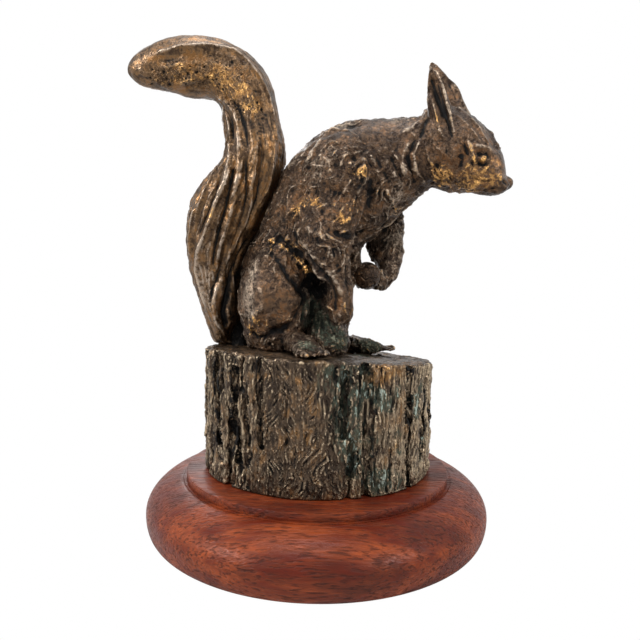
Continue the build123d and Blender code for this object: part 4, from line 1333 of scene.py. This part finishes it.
@dataclass
class Tail(Casting):
    """The tail casting, with its long locks."""

    voxel: float = 0.62
    melt: int = 12
    ridges: tuple[int, int] = (4, 24)
    spine: tuple[tuple[float, float, float], ...] = (
        (-50.0, 16.0, 91.0), (-59.0, 15.7, 108.4), (-63.0, 15.2, 125.6), (-65.2, 14.7, 146.0),
        (-62.8, 14.4, 163.9), (-58.3, 13.8, 179.5), (-47.3, 12.8, 196.9), (-41.3, 11.5, 216.0),
        (-44.3, 10.2, 233.5), (-48.0, 9.0, 250.5), (-64.0, 6.7, 263.8), (-83.0, 4.5, 264.8),
        (-96.5, 2.4, 264.0), (-107.0, 1.0, 261.6), (-116.8, 0.0, 260.2),
    )
    strokes: tuple[Stroke, ...] = (
        # ridges of the lower locks
        Stroke(1.6, 1.2, ((225.5, 142), (214, 173), (202.7, 196), (193.6, 216), (190, 235), (190, 255))),
        Stroke(2.6, 1.9, ((232, 140), (231, 157), (227.7, 175.5), (216.4, 205), (207.3, 230), (199.3, 252.7),
                          (198.2, 271), (202.7, 290), (208, 306))),
        Stroke(2.0, 2.2, ((236.8, 130), (241.4, 152.7), (238, 175.5), (234.5, 198), (228.9, 221), (221, 243),
                          (216, 262))),
        Stroke(1.6, 1.8, ((255, 143), (253.9, 175.5), (250, 205), (243.6, 225.5), (233, 245), (226, 262))),
        Stroke(1.4, 2.0, ((275, 140), (270, 180), (260, 209), (249, 230))),
        Stroke(1.4, 1.4, ((215, 290), (213, 305), (217, 322), (224, 333))),
        # slits between them
        Stroke(-2.0, 0.8, ((224, 160), (221, 171), (214, 198), (204, 219), (198, 236))),
        Stroke(-2.6, 0.8, ((232.5, 166), (231, 180), (225.5, 207), (218.5, 230), (213.5, 255), (212, 268))),
        Stroke(-2.0, 1.0, ((246, 160), (246, 180), (247, 196), (244, 214), (238, 232), (230, 250))),
        Stroke(-1.6, 0.9, ((262, 140), (262, 165), (258, 195), (252.7, 212), (246, 228))),
        Stroke(-3.0, 1.8, ((248, 239), (238, 257), (232, 275.5), (229, 289), (222, 312), (226, 330))),
        Stroke(-2.0, 1.3, ((222, 262), (218.6, 275.5), (211.8, 289), (210, 300))),
        Stroke(-1.4, 1.0, ((208, 192), (199, 214), (194, 236), (193, 258))),
        # under the bend
        Stroke(1.2, 1.3, ((213, 92), (221, 101), (227, 112), (229.5, 128), (228, 140), (225, 154))),
        Stroke(1.6, 1.2, ((217, 94), (228, 103), (233.6, 112), (239, 128), (242, 150))),
        Stroke(-1.8, 1.0, ((215, 95), (224, 106), (230.5, 122), (232.5, 145))),
        Stroke(-1.8, 1.2, ((228, 98), (237, 106), (244, 122), (248, 150))),
        # the curl
        Stroke(1.4, 1.4, ((156, 54), (181, 46.5), (211, 45), (233.6, 50), (247, 61), (259, 76), (269, 97),
                          (274, 120), (276, 140))),
        Stroke(-1.5, 2.4, ((160, 62), (185, 56), (210, 55), (230, 61), (245, 74), (257, 92), (264, 115))),
        Stroke(1.4, 2.2, ((177, 86), (186, 80), (196, 78))),
        Stroke(-1.5, 1.2, ((176, 80), (184, 75))),
        Stroke(-1.4, 1.4, ((183, 91), (196, 87), (208, 81))),
        Stroke(1.2, 2.4, ((136, 66), (152, 78), (168, 88))),
        Stroke(0.9, 2.0, ((160, 68), (176, 64), (190, 66))),
    )
    blades: tuple[Blade, ...] = (
        Blade(110, (26.0, 60.0), (2.6, 4.0), 0.35, 0.15, 0.03),
        Blade(160, (16.0, 44.0), (1.3, 2.0), 0.35, 0.20, 0.04),
        Blade(140, (8.0, 24.0), (0.9, 1.2), 0.35, 0.25, 0.06),
    )
    calms: tuple[Patch, ...] = (
        Patch(165, 62, 16, 0.8), Patch(195, 50, 16, 0.8), Patch(225, 55, 14, 0.7),
        Patch(250, 75, 12, 0.6), Patch(272, 125, 12, 0.5), Patch(145, 75, 12, 0.7),
    )
    pits: tuple[Patch, ...] = (
        Patch(158, 81, 6, 1.0), Patch(170, 75, 6, 1.0), Patch(182, 73, 6, 0.9), Patch(196, 80, 5, 0.8),
        Patch(206, 74, 8, 1.0), Patch(221, 76, 8, 1.0), Patch(228, 86, 8, 1.0), Patch(242, 94, 8, 1.0),
        Patch(254, 108, 7, 1.0), Patch(238, 70, 6, 0.6),
    )
    rubs: tuple[Patch, ...] = (
        Patch(240, 90, 8, 0.5), Patch(222, 80, 8, 0.5), Patch(206, 76, 7, 0.4), Patch(182, 76, 8, 0.5),
        Patch(163, 80, 6, 0.5), Patch(255, 107, 6, 0.6), Patch(210, 215, 5, 0.5),
        Patch(222, 170, 5, 0.5), Patch(213, 250, 4, 0.5), Patch(236, 272, 5, 0.6),
        Patch(215, 300, 5, 0.5), Patch(275, 130, 6, 0.4), Patch(262, 195, 6, 0.5),
    )
    browns: tuple[Patch, ...] = (
        Patch(262, 190, 13, 0.9), Patch(268, 150, 13, 0.9), Patch(255, 225, 10, 0.7),
        Patch(240, 86, 14, 0.8), Patch(165, 72, 16, 0.5), Patch(205, 80, 12, 0.7),
        Patch(180, 48, 14, 0.4), Patch(202, 215, 7, 0.5), Patch(235, 240, 7, 0.5),
        Patch(205, 292, 12, 0.9), Patch(215, 315, 9, 0.8), Patch(210, 268, 8, 0.5),
    )
    sheens: tuple[Patch, ...] = (
        Patch(148, 58, 8, 0.5), Patch(190, 43, 8, 0.5), Patch(225, 46, 8, 0.7), Patch(255, 65, 8, 0.7),
        Patch(272, 100, 7, 0.5), Patch(230, 120, 6, 0.3), Patch(234, 150, 6, 0.3), Patch(228, 180, 5, 0.4),
        Patch(200, 250, 6, 0.6), Patch(215, 215, 4, 0.5), Patch(202, 285, 7, 0.7), Patch(195, 225, 5, 0.4),
        Patch(208, 308, 7, 0.6), Patch(218, 295, 6, 0.5), Patch(219, 325, 6, 0.5), Patch(228, 262, 6, 0.6),
        Patch(200, 270, 7, 0.8), Patch(205, 245, 5, 0.6), Patch(213, 280, 6, 0.8), Patch(206, 298, 7, 0.6),
    )
    # painted shade: patches darkened where the tail meets the haunch, under the bend and between the lower
    # locks
    shade_patches: tuple[Patch, ...] = (
        Patch(232, 300, 6, 0.5), Patch(231, 318, 6, 0.6), Patch(234, 335, 6, 0.9), Patch(272, 208, 4, 0.7),
        Patch(238, 128, 8, 0.30), Patch(260, 138, 9, 0.35), Patch(246, 116, 8, 0.25),
        Patch(268, 115, 8, 0.25), Patch(262, 230, 5, 0.7), Patch(251, 247, 5, 0.7),
        Patch(238, 275, 5, 0.6),
    )

    def heading(self, points: np.ndarray, normals: np.ndarray) -> np.ndarray:
        """The direction along the tail, laid on the surface at each point."""
        knots = np.array(self.spine)
        steps = np.linspace(0, len(knots) - 1, 200)
        line = np.stack([np.interp(steps, np.arange(len(knots)), column) for column in knots.T], axis=1)
        ease(line, 12)
        nearest = np.concatenate(
            [
                ((part[:, None, :] - line[None, :, :]) ** 2).sum(axis=2).argmin(axis=1)
                for part in np.array_split(points, max(1, len(points) // BATCH))
            ]
        )
        ahead = unit_rows(np.gradient(line, axis=0))[nearest]
        return unit_rows(laid_flat(ahead, normals), 1e-6)

    def build(self) -> list[bpy.types.Object]:
        """Carve the locks and set the piece."""
        relief = self.fused("brush_tail", node_mesh("tail"), node_mesh("tail_dowel"))
        tree = relief.tree()
        normals = relief.normals()
        lie = relief.average(self.heading(relief.points, normals), 30)
        lie = unit_rows(laid_flat(lie, normals), 1e-6)
        lifted = summed(self.strokes, relief, tree)
        self.part_locks(relief, lie, lifted)
        pitted, holes = self.chase(relief, tree, lie)
        self.tarnish(relief, tree, lifted, pitted, holes, lie)
        relief.write()
        finish = Bronze(
            "tail_bronze", umber=rgb(60, 44, 31), tan=rgb(118, 92, 65), amber=rgb(122, 81, 37),
            worn_sheen=rgb(170, 154, 138), gold=rgb(184, 142, 88), stretch=0.8,
        )
        return [set_piece("brush_tail", relief.mesh, Slot.FIGURE, finish.make(), "tail")]

    @staticmethod
    def part_locks(relief: Relief, lie: np.ndarray, lifted: np.ndarray) -> None:
        """Part the brush into locks, which stand out more below the bend."""
        wide = streaks(LatticeNoise(seed=33), relief.points, lie, grain=7.5, length=60.0)
        cast = LatticeNoise(seed=35).fractal(relief.points / 12.0, 2)
        low = 1.0 - ramp(relief.points[:, 2], 215.0, 245.0)
        narrow = streaks(LatticeNoise(seed=34), relief.points, lie, grain=3.2, length=40.0)
        relief.push(wide * (0.25 + 0.25 * low) + narrow * (0.10 + 0.15 * low) + cast * 0.45 + lifted)
        relief.soften(3)

    def chase(self, relief: Relief, tree: BVHTree, lie: np.ndarray) -> tuple[np.ndarray, np.ndarray]:
        """Work the tool marks and the pits into the surface.

        Args:
            relief: The surface.
            tree: Its search tree from before the carving.
            lie: The direction of the hair at each point.

        Returns:
            How pitted each point's surroundings are, and how far it lies in a pit.
        """
        calm = 1.0 - np.clip(summed(self.calms, relief, tree), 0.0, 0.8)
        marks = Marks(relief, lie, seed=23)
        for blade in self.blades:
            marks.press(blade, calm + 0.02)
        gap, size = LatticeNoise(seed=37).cracks(relief.points / 2.4)
        pitted = np.clip(summed(self.pits, relief, tree), 0.0, 1.0)
        holes = ramp(size, 0.25, 0.45) * ramp(gap, 0.30, 0.60) * ramp(pitted, 0.1, 0.5)
        relief.push(calm * marks.height - holes * 0.60)
        return pitted, holes

    def tarnish(
        self, relief: Relief, tree: BVHTree, lifted: np.ndarray, pitted: np.ndarray, holes: np.ndarray,
        lie: np.ndarray,
    ) -> None:
        """Work out where the metal is rubbed or brown, where dark patina and painted shade lie, and where
        highlights are painted.
        """
        grain = streaks(LatticeNoise(seed=38), relief.points, lie, grain=1.8, length=16.0) * (1.0 - pitted)
        fine, broad = self.raised(relief)
        relief.store("crest", ramp(fine * 1.0 + broad * 0.55, 0.02, 0.55))
        painted_shade = summed(self.shade_patches, relief, tree)
        # dark patina in the pits and the low grain, and painted shade in the slits cut between the locks
        sooty_and_shaded = holes * 0.9 + ramp(-grain, 0.10, 0.55) * 0.30
        sooty_and_shaded += ramp(-lifted, 0.9, 2.2) * 0.6
        relief.store("hollow", ramp(-fine * 1.1 - broad * 0.40, 0.20, 0.95) + painted_shade + sooty_and_shaded)
        relief.store("sheen", summed(self.sheens, relief, tree))
        relief.store("worked", 0.15 + 0.85 * pitted)
        relief.store("rubbed", summed(self.rubs, relief, tree) + pitted * 0.35)
        relief.store("brown", summed(self.browns, relief, tree) * 0.6 + 0.2 + grain * 0.5)
        relief.store("green", np.zeros(len(relief.points)))


@dataclass
class Kernel(Casting):
    """The nut between the paws."""

    voxel: float = 0.35
    melt: int = 2
    ridges: tuple[int, int] = (3, 10)

    def build(self) -> list[bpy.types.Object]:
        """Wrinkle the shell and set the piece."""
        relief = self.fused("held_nut", node_mesh("nut"))
        middle = relief.points.mean(axis=0)
        away = relief.points - middle
        veins = np.abs(LatticeNoise(seed=41).fractal(away / 5.0, 2))
        relief.push(0.25 - 1.0 * np.exp(-((veins / 0.12) ** 2)))
        fine, broad = self.raised(relief)
        relief.store("crest", ramp(fine * 1.4 + broad * 0.4, 0.05, 0.50))
        relief.store("hollow", ramp(-fine * 1.4 - broad * 0.5, 0.02, 0.30))
        levels = {"rubbed": 0.1, "sheen": 0.1, "brown": 0.2, "green": 0.0, "worked": 0.6}
        for name, value in levels.items():
            relief.store(name, np.full(len(relief.points), value))
        relief.write()
        return [set_piece("held_nut", relief.mesh, Slot.FIGURE, Bronze("nut_bronze").make(), "nut")]


class Zones(NamedTuple):
    """Numbers of each point of the stump that its carving leaves to its finish."""

    wall: np.ndarray
    side: np.ndarray
    worm: np.ndarray


@dataclass
class Stump(Casting):
    """The cast tree stump, with bark slabs round its side."""

    voxel: float = 0.72
    melt: int = 2
    ridges: tuple[int, int] = (2, 12)
    blades: tuple[Blade, ...] = (
        Blade(700, (14.0, 40.0), (1.3, 2.2), 0.70, 0.45, 0.06),
        Blade(4600, (3.0, 10.0), (0.75, 1.15), 0.55, 0.60, 0.18),
    )
    strokes: tuple[Stroke, ...] = (
        Stroke(-2.6, 1.5, ((337, 364), (338, 384))),
        Stroke(-2.6, 1.6, ((341, 396), (340, 413))),
        Stroke(-2.2, 1.4, ((364, 424), (363, 442), (360, 462))),
        Stroke(-1.6, 1.3, ((287, 424), (290, 450))),
        Stroke(-2.6, 1.3, ((222, 352), (221, 372), (224, 392))),
        Stroke(-2.4, 1.2, ((231, 350), (230, 368))),
        Stroke(-3.0, 1.5, ((238, 358), (239, 378), (240, 395))),
        Stroke(-3.0, 1.6, ((243, 395), (245, 420), (247, 445), (246, 470))),
        Stroke(-2.6, 1.5, ((226, 405), (232, 425), (238, 445))),
        Stroke(-2.6, 1.4, ((214, 410), (217, 430), (224, 450))),
        Stroke(-2.2, 1.2, ((213, 440), (219, 458), (228, 474))),
        Stroke(-2.6, 1.5, ((232, 440), (238, 460), (241, 476))),
        Stroke(1.4, 1.6, ((247, 362), (249, 384), (252, 405), (254, 430))),
        Stroke(-1.6, 1.2, ((254, 362), (257, 385), (259, 410))),
        Stroke(1.2, 1.4, ((352, 362), (356, 385), (352, 410), (356, 440))),
        Stroke(-1.8, 1.2, ((372, 366), (371, 395), (370, 430), (370, 470))),
        Stroke(-1.8, 1.3, ((411, 366), (412, 385), (409, 410))),
        Stroke(-2.0, 1.4, ((427, 372), (428, 400), (426, 440))),
    )
    ambers: tuple[Patch, ...] = (
        Patch(386, 369, 7, 0.8), Patch(382, 380, 6, 0.7), Patch(400, 372, 5, 0.6), Patch(409, 372, 5, 0.7),
        Patch(401, 394, 5, 0.8), Patch(404, 416, 6, 1.0), Patch(399, 429, 5, 0.9), Patch(394, 446, 5, 0.8),
        Patch(375, 380, 4, 0.6), Patch(409, 432, 5, 0.6), Patch(418, 440, 5, 0.6), Patch(386, 460, 5, 0.5),
        Patch(252, 400, 6, 0.5), Patch(262, 376, 7, 0.4), Patch(350, 440, 6, 0.5), Patch(300, 395, 12, 0.3),
    )
    patinas: tuple[Patch, ...] = (
        Patch(381, 396, 5, 1.3), Patch(389, 406, 5, 1.2), Patch(399, 391, 4, 1.2), Patch(397, 433, 4, 1.1),
        Patch(417, 400, 5, 1.3), Patch(423, 385, 5, 1.2), Patch(419, 412, 5, 1.2), Patch(424, 441, 4, 1.1),
        Patch(421, 458, 4, 1.1), Patch(376, 482, 6, 1.3), Patch(386, 479, 6, 1.3), Patch(397, 481, 5, 1.2),
        Patch(410, 482, 5, 1.0), Patch(366, 372, 4, 1.0), Patch(366, 390, 4, 0.9), Patch(402, 452, 4, 0.9),
    )
    greens: tuple[Patch, ...] = (
        Patch(337, 372, 6, 0.6), Patch(345, 392, 8, 0.8), Patch(352, 422, 9, 0.8), Patch(359, 400, 7, 0.6),
        Patch(340, 430, 8, 0.6), Patch(358, 447, 8, 0.7), Patch(352, 472, 8, 0.7), Patch(322, 378, 8, 0.5),
        Patch(352, 372, 7, 0.7), Patch(330, 352, 10, 0.6), Patch(300, 352, 8, 0.5), Patch(368, 354, 9, 0.6),
        Patch(330, 410, 8, 0.4), Patch(345, 455, 8, 0.5), Patch(362, 360, 6, 0.5), Patch(376, 440, 5, 0.4),
    )
    noise: LatticeNoise = field(default_factory=lambda: LatticeNoise(seed=51))

    def plug(self) -> bpy.types.Mesh:
        """A block that fills the hollow of the stump, so that only its outside is left."""
        low, high = (Vector(corner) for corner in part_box("stump_shell"))
        size = high - low
        shape = bmesh.new()
        rise = size.z * 0.84
        bmesh.ops.create_cone(
            shape, cap_ends=True, segments=96, radius1=0.5, radius2=0.5, depth=1.0,
            matrix=Matrix.Translation((0.0, 0.0, low.z + rise / 2))
            @ Matrix.Diagonal((size.x * 0.88, size.y * 0.88, rise, 1.0)),
        )
        return new_mesh("plug", shape)

    def lie(self, points: np.ndarray, normals: np.ndarray, worm: np.ndarray) -> np.ndarray:
        """The grain of the bark: upright, and curling where it is wormy."""
        lie = unit_rows(np.array([0.0, 0.0, 1.0]) - normals * normals[:, 2:], 1e-3)
        return swayed(lie, normals, self.noise.fractal(points / 9.0, 2) * (0.40 + 1.0 * worm))

    def build(self) -> list[bpy.types.Object]:
        """Carve the bark and set the piece."""
        relief = self.fused("bark_stump", node_mesh("stump_shell"), self.plug())
        tree = relief.tree()
        strokes = summed(self.strokes, relief, tree)
        amber = summed(self.ambers, relief, tree)
        patina = summed(self.patinas, relief, tree)
        patina += np.clip(summed(self.greens, relief, tree), 0.0, 0.90)
        zones = self.chase(relief, strokes)
        self.tarnish(relief, zones, strokes, amber, patina)
        relief.write()
        finish = Bronze(
            "stump_bronze", umber=rgb(52, 42, 34), tan=rgb(104, 86, 68), amber=rgb(130, 90, 44),
            worn_sheen=rgb(190, 170, 142), stretch=0.35, gold_at=0.86,
        )
        mesh = thinned(relief.mesh)
        return [set_piece("bark_stump", mesh, Slot.STUMP, finish.make(), "stump_shell")]

    def chase(self, relief: Relief, strokes: np.ndarray) -> Zones:
        """Work the slabs, the worm tracks and the tool marks into the surface.

        Args:
            relief: The surface.
            strokes: How far the strokes move each point.

        Returns:
            How far each point is on the wall, its bearing round the stump, and how wormy it is.
        """
        normals = relief.normals()
        wall = 1.0 - ramp(np.abs(normals[:, 2]), 0.35, 0.75)
        foot = relief.points[:, 2].min()
        floor = ramp(relief.points[:, 2], foot + 0.2, foot + 1.6)
        warp = np.stack(
            [self.noise.fractal(relief.points / 14.0 + shift, 2) for shift in (0.0, 31.0, 67.0)], axis=1
        )
        sway = laid_flat(warp, normals)
        relief.points += sway * np.array([2.6, 2.6, 0.0]) * (wall * floor)[:, None]
        side = np.arctan2(relief.points[:, 0], -relief.points[:, 1]) + warp[:, 2] * 0.2
        worm = wall * ramp(side, -0.62, -0.35) * (1 - ramp(side, 0.10, 0.30))
        slabs = relief.points * np.array([1 / 6.4, 1 / 6.4, 1 / 95.0]) + warp * 0.24
        gap, tone = LatticeNoise(seed=53).cracks(slabs)
        slab = (tone - 0.5) * 2.0 - 1.5 * (1 - ramp(gap, 0.02, 0.16))
        relief.push((slab * (1 - 0.75 * worm) + strokes) * wall * floor)
        relief.soften(3)
        marks = Marks(relief, self.lie(relief.points, normals, worm), seed=29)
        for blade, spread in zip(self.blades, (0.65, 0.3)):
            marks.press(blade, wall * floor * (spread + (1.0 - spread) * worm) + 0.03)
        top = LatticeNoise(seed=61).fractal(relief.points / 8.0, 3) * 1.1 - 0.5
        relief.push((marks.height * (0.45 + 0.55 * wall) + top * (1 - wall)) * floor)
        return Zones(wall, side, worm)

    def tarnish(
        self, relief: Relief, zones: Zones, strokes: np.ndarray, amber: np.ndarray, patina: np.ndarray
    ) -> None:
        """Work out where the metal is rubbed or green, where dark patina and painted shade lie, and where
        its wall is painted lighter as a highlight.
        """
        wall, side, worm = zones
        fine, broad = self.raised(relief)
        relief.store("crest", ramp(fine * 1.1 + broad * 0.3, 0.03, 0.60))
        # dark patina, and painted shade, in the hollows and in the cracks cut between the slabs
        relief.store("hollow", ramp(-fine * 1.1 - broad * 0.45, 0.02, 0.55) + ramp(-strokes, 0.8, 2.2) * 0.5)
        elsewhere = 1.0 - ramp(-relief.points[:, 1], 0.0, 12.0)
        mottle = ramp(self.noise.fractal(relief.points / 20.0 + 9.0, 3), 0.10, 0.45) * elsewhere
        relief.store("green", patina + mottle * 0.8)
        relief.store("rubbed", np.clip(amber, 0.0, 1.0) * 0.9)
        relief.store("brown", 0.10 + amber * 0.9)
        relief.store("worked", 0.35 + 0.45 * wall)
        relief.store("sheen", wall * (1.0 - worm) * (0.35 + ramp(side, 0.40, 0.70) * 0.45))


@dataclass
class Plinth:
    """The turned hardwood base, in millimetres.

    A flat foot, a swell that is widest at the waist and has its upper centre at the crown's radius, a
    quirk round the step, and the step with its rounded edge.
    """

    sides: int = 224
    foot: float = 92.0
    foot_parts: int = 12
    waist: float = 10.5
    crown: float = 68.0
    swell_parts: int = 28
    quirk: float = 1.4
    step_radius: float = 75.0
    step_rise: float = 3.0
    edge: float = 0.7

    def profile(self) -> list[tuple[float, float]]:
        """Radius and height along the turned outline, from the foot's middle to the top's."""
        low, high = (Vector(corner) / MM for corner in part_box("plinth"))
        radius, top = high.x, high.z
        level = top - self.step_rise
        edge = self.step_radius + self.quirk
        last = math.acos((edge + self.edge - self.crown) / (radius - self.crown))
        below = [math.radians(-90 + 90 * i / self.foot_parts) for i in range(self.foot_parts + 1)]
        above = [last * i / self.swell_parts for i in range(1, self.swell_parts + 1)]
        lower, upper = (below, self.foot, self.waist - low.z), (above, self.crown, level - self.waist)
        outline = [(0.0, low.z), (self.foot - 1.0, low.z)]
        for angles, centre, rise in (lower, upper):
            outline += [
                (centre + (radius - centre) * math.cos(angle), self.waist + rise * math.sin(angle))
                for angle in angles
            ]
        outline += [
            (edge, outline[-1][1] - 0.3), (edge, level - 1.0), (self.step_radius, level - 1.0),
            (self.step_radius, level + 0.2), (self.step_radius, top - self.edge),
            (self.step_radius - self.edge * 0.35, top - self.edge * 0.3),
            (self.step_radius - self.edge, top), (self.step_radius - 6.0, top), (0.0, top),
        ]
        return outline

    def build(self) -> list[bpy.types.Object]:
        """Spin the outline and set the piece."""
        shape = bmesh.new()
        rim = [shape.verts.new((x * MM, 0.0, z * MM)) for x, z in self.profile()]
        edges = [shape.edges.new(pair) for pair in zip(rim, rim[1:])]
        bmesh.ops.spin(
            shape, geom=rim + edges, axis=(0, 0, 1), cent=(0, 0, 0), dvec=(0, 0, 0),
            angle=math.tau, steps=self.sides, use_merge=True, use_duplicate=False,
        )
        bmesh.ops.remove_doubles(shape, verts=shape.verts, dist=1e-6)
        bmesh.ops.recalc_face_normals(shape, faces=shape.faces)
        mesh = new_mesh("turned_plinth", shape)
        mesh.shade_smooth()
        mesh.set_sharp_from_angle(angle=math.radians(38.0))
        wood = Mahogany("satin_mahogany").make()
        return [set_piece("turned_plinth", mesh, Slot.HARDWOOD, wood, "plinth")]


@dataclass
class Fixings:
    """The hidden fixings and the cloth, which keep their CAD shapes."""

    steel: tuple[str, ...] = (
        "plinth_bolts", "plinth_washers", "neck_dowel", "tail_dowel", "figure_studs", "stud_washers",
        "stud_nuts",
    )

    def build(self) -> list[bpy.types.Object]:
        """Give each CAD node its finish."""
        finishes = {name: Steel("plain_steel") for name in self.steel}
        made: dict[Any, bpy.types.Material] = {}
        finishes["plinth_baize"] = Baize("green_baize")
        finishes["stump_bosses"] = Steel("boss_bronze", bright=rgb(120, 96, 62), dull=rgb(86, 68, 46))
        dressed = []
        for name, finish in finishes.items():
            if finish not in made:
                made[finish] = finish.make()
            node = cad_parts[name]
            node.data.materials.clear()
            node.data.materials.append(made[finish])
            dressed.append(node)
        return dressed


# ---------------------------------------------------------------- the studio


@dataclass(frozen=True)
class Softbox:
    """A square lamp that faces a point of the figurine, in metres and watts."""

    name: str
    place: tuple[float, float, float]
    aim: tuple[float, float, float]
    size: float
    power: float

    def make(self) -> None:
        """Add the lamp."""
        data = bpy.data.lights.new(self.name, "AREA")
        data.shape = "SQUARE"
        data.size = self.size
        data.energy = self.power
        lamp = add_object(self.name, data)
        way = Vector(self.aim) - Vector(self.place)
        turned = way.to_track_quat("-Z", "Y").to_matrix().to_4x4()
        lamp.matrix_world = Matrix.Translation(self.place) @ turned


@dataclass
class Studio:
    """A plain pale floor and world, and the soft lamps."""

    boxes: tuple[Softbox, ...] = (
        Softbox("left", (-0.80, -0.45, 0.66), (0.0, 0.0, 0.14), 0.30, 8.0),
        Softbox("right", (0.72, -0.55, 0.66), (0.0, 0.0, 0.12), 0.30, 5.0),
        Softbox("crown", (-0.10, -0.10, 1.10), (0.0, 0.0, 0.15), 0.50, 5.5),
        Softbox("back", (-0.30, 0.85, 0.60), (0.0, 0.0, 0.18), 0.40, 3.0),
    )
    sky: float = 0.30

    def build(self) -> None:
        """Make the floor, the world and the lamps."""
        self.world()
        self.floor()
        for box in self.boxes:
            box.make()
        bpy.context.scene.view_settings.view_transform = "Standard"

    def world(self) -> None:
        """A white world to the camera and in reflections, and a plain one as light."""
        world = bpy.data.worlds.new("studio")
        bpy.context.scene.world = world
        world.use_nodes = True
        graph = Graph(world.node_tree)
        rays = graph.node("ShaderNodeLightPath").outputs
        seen = rays["Is Camera Ray"]
        for kind in ("Is Glossy Ray", "Is Transmission Ray"):
            larger = graph.node("ShaderNodeMath", {"operation": "MAXIMUM"}, {0: seen, 1: rays[kind]})
            seen = larger.outputs[0]
        light, white = (
            graph.node("ShaderNodeBackground", inputs={"Strength": strength, "Color": WHITE}).outputs[0]
            for strength in (self.sky, 1.0)
        )
        mix = graph.node("ShaderNodeMixShader", inputs={0: seen, 1: light, 2: white})
        graph.node("ShaderNodeOutputWorld", inputs={"Surface": mix.outputs[0]})

    def floor(self) -> None:
        """A pale floor that is white to the camera and keeps a soft shadow."""
        shape = bmesh.new()
        bmesh.ops.create_grid(shape, x_segments=1, y_segments=1, size=3.0)
        mesh = new_mesh("floor", shape)
        floor = add_object("floor", mesh)
        floor.location.z = -0.1 * MM
        material = bpy.data.materials.new("floor")
        material.use_nodes = True
        graph = Graph(material.node_tree)
        seen = graph.node("ShaderNodeLightPath").outputs["Is Camera Ray"]
        matt = graph.node("ShaderNodeBsdfDiffuse", inputs={"Color": (0.8, 0.8, 0.8, 1.0)}).outputs[0]
        white = graph.node("ShaderNodeEmission", inputs={"Strength": 1.0}).outputs[0]
        mix = graph.node("ShaderNodeMixShader", inputs={0: seen, 1: matt, 2: white})
        graph.node("ShaderNodeOutputMaterial", inputs={"Surface": mix.outputs[0]})
        mesh.materials.append(material)


def main() -> None:
    """Build the scene in order."""
    logging.basicConfig(level=logging.INFO, format="%(message)s")
    VIEW.make_camera()
    Studio().build()
    for maker in (Plinth(), Stump(), Squirrel(), Tail(), Kernel(), Fixings()):
        for piece in maker.build():
            LOG.info("%s: %d faces", piece.name, len(piece.data.polygons))


if __name__ == "__main__":
    main()
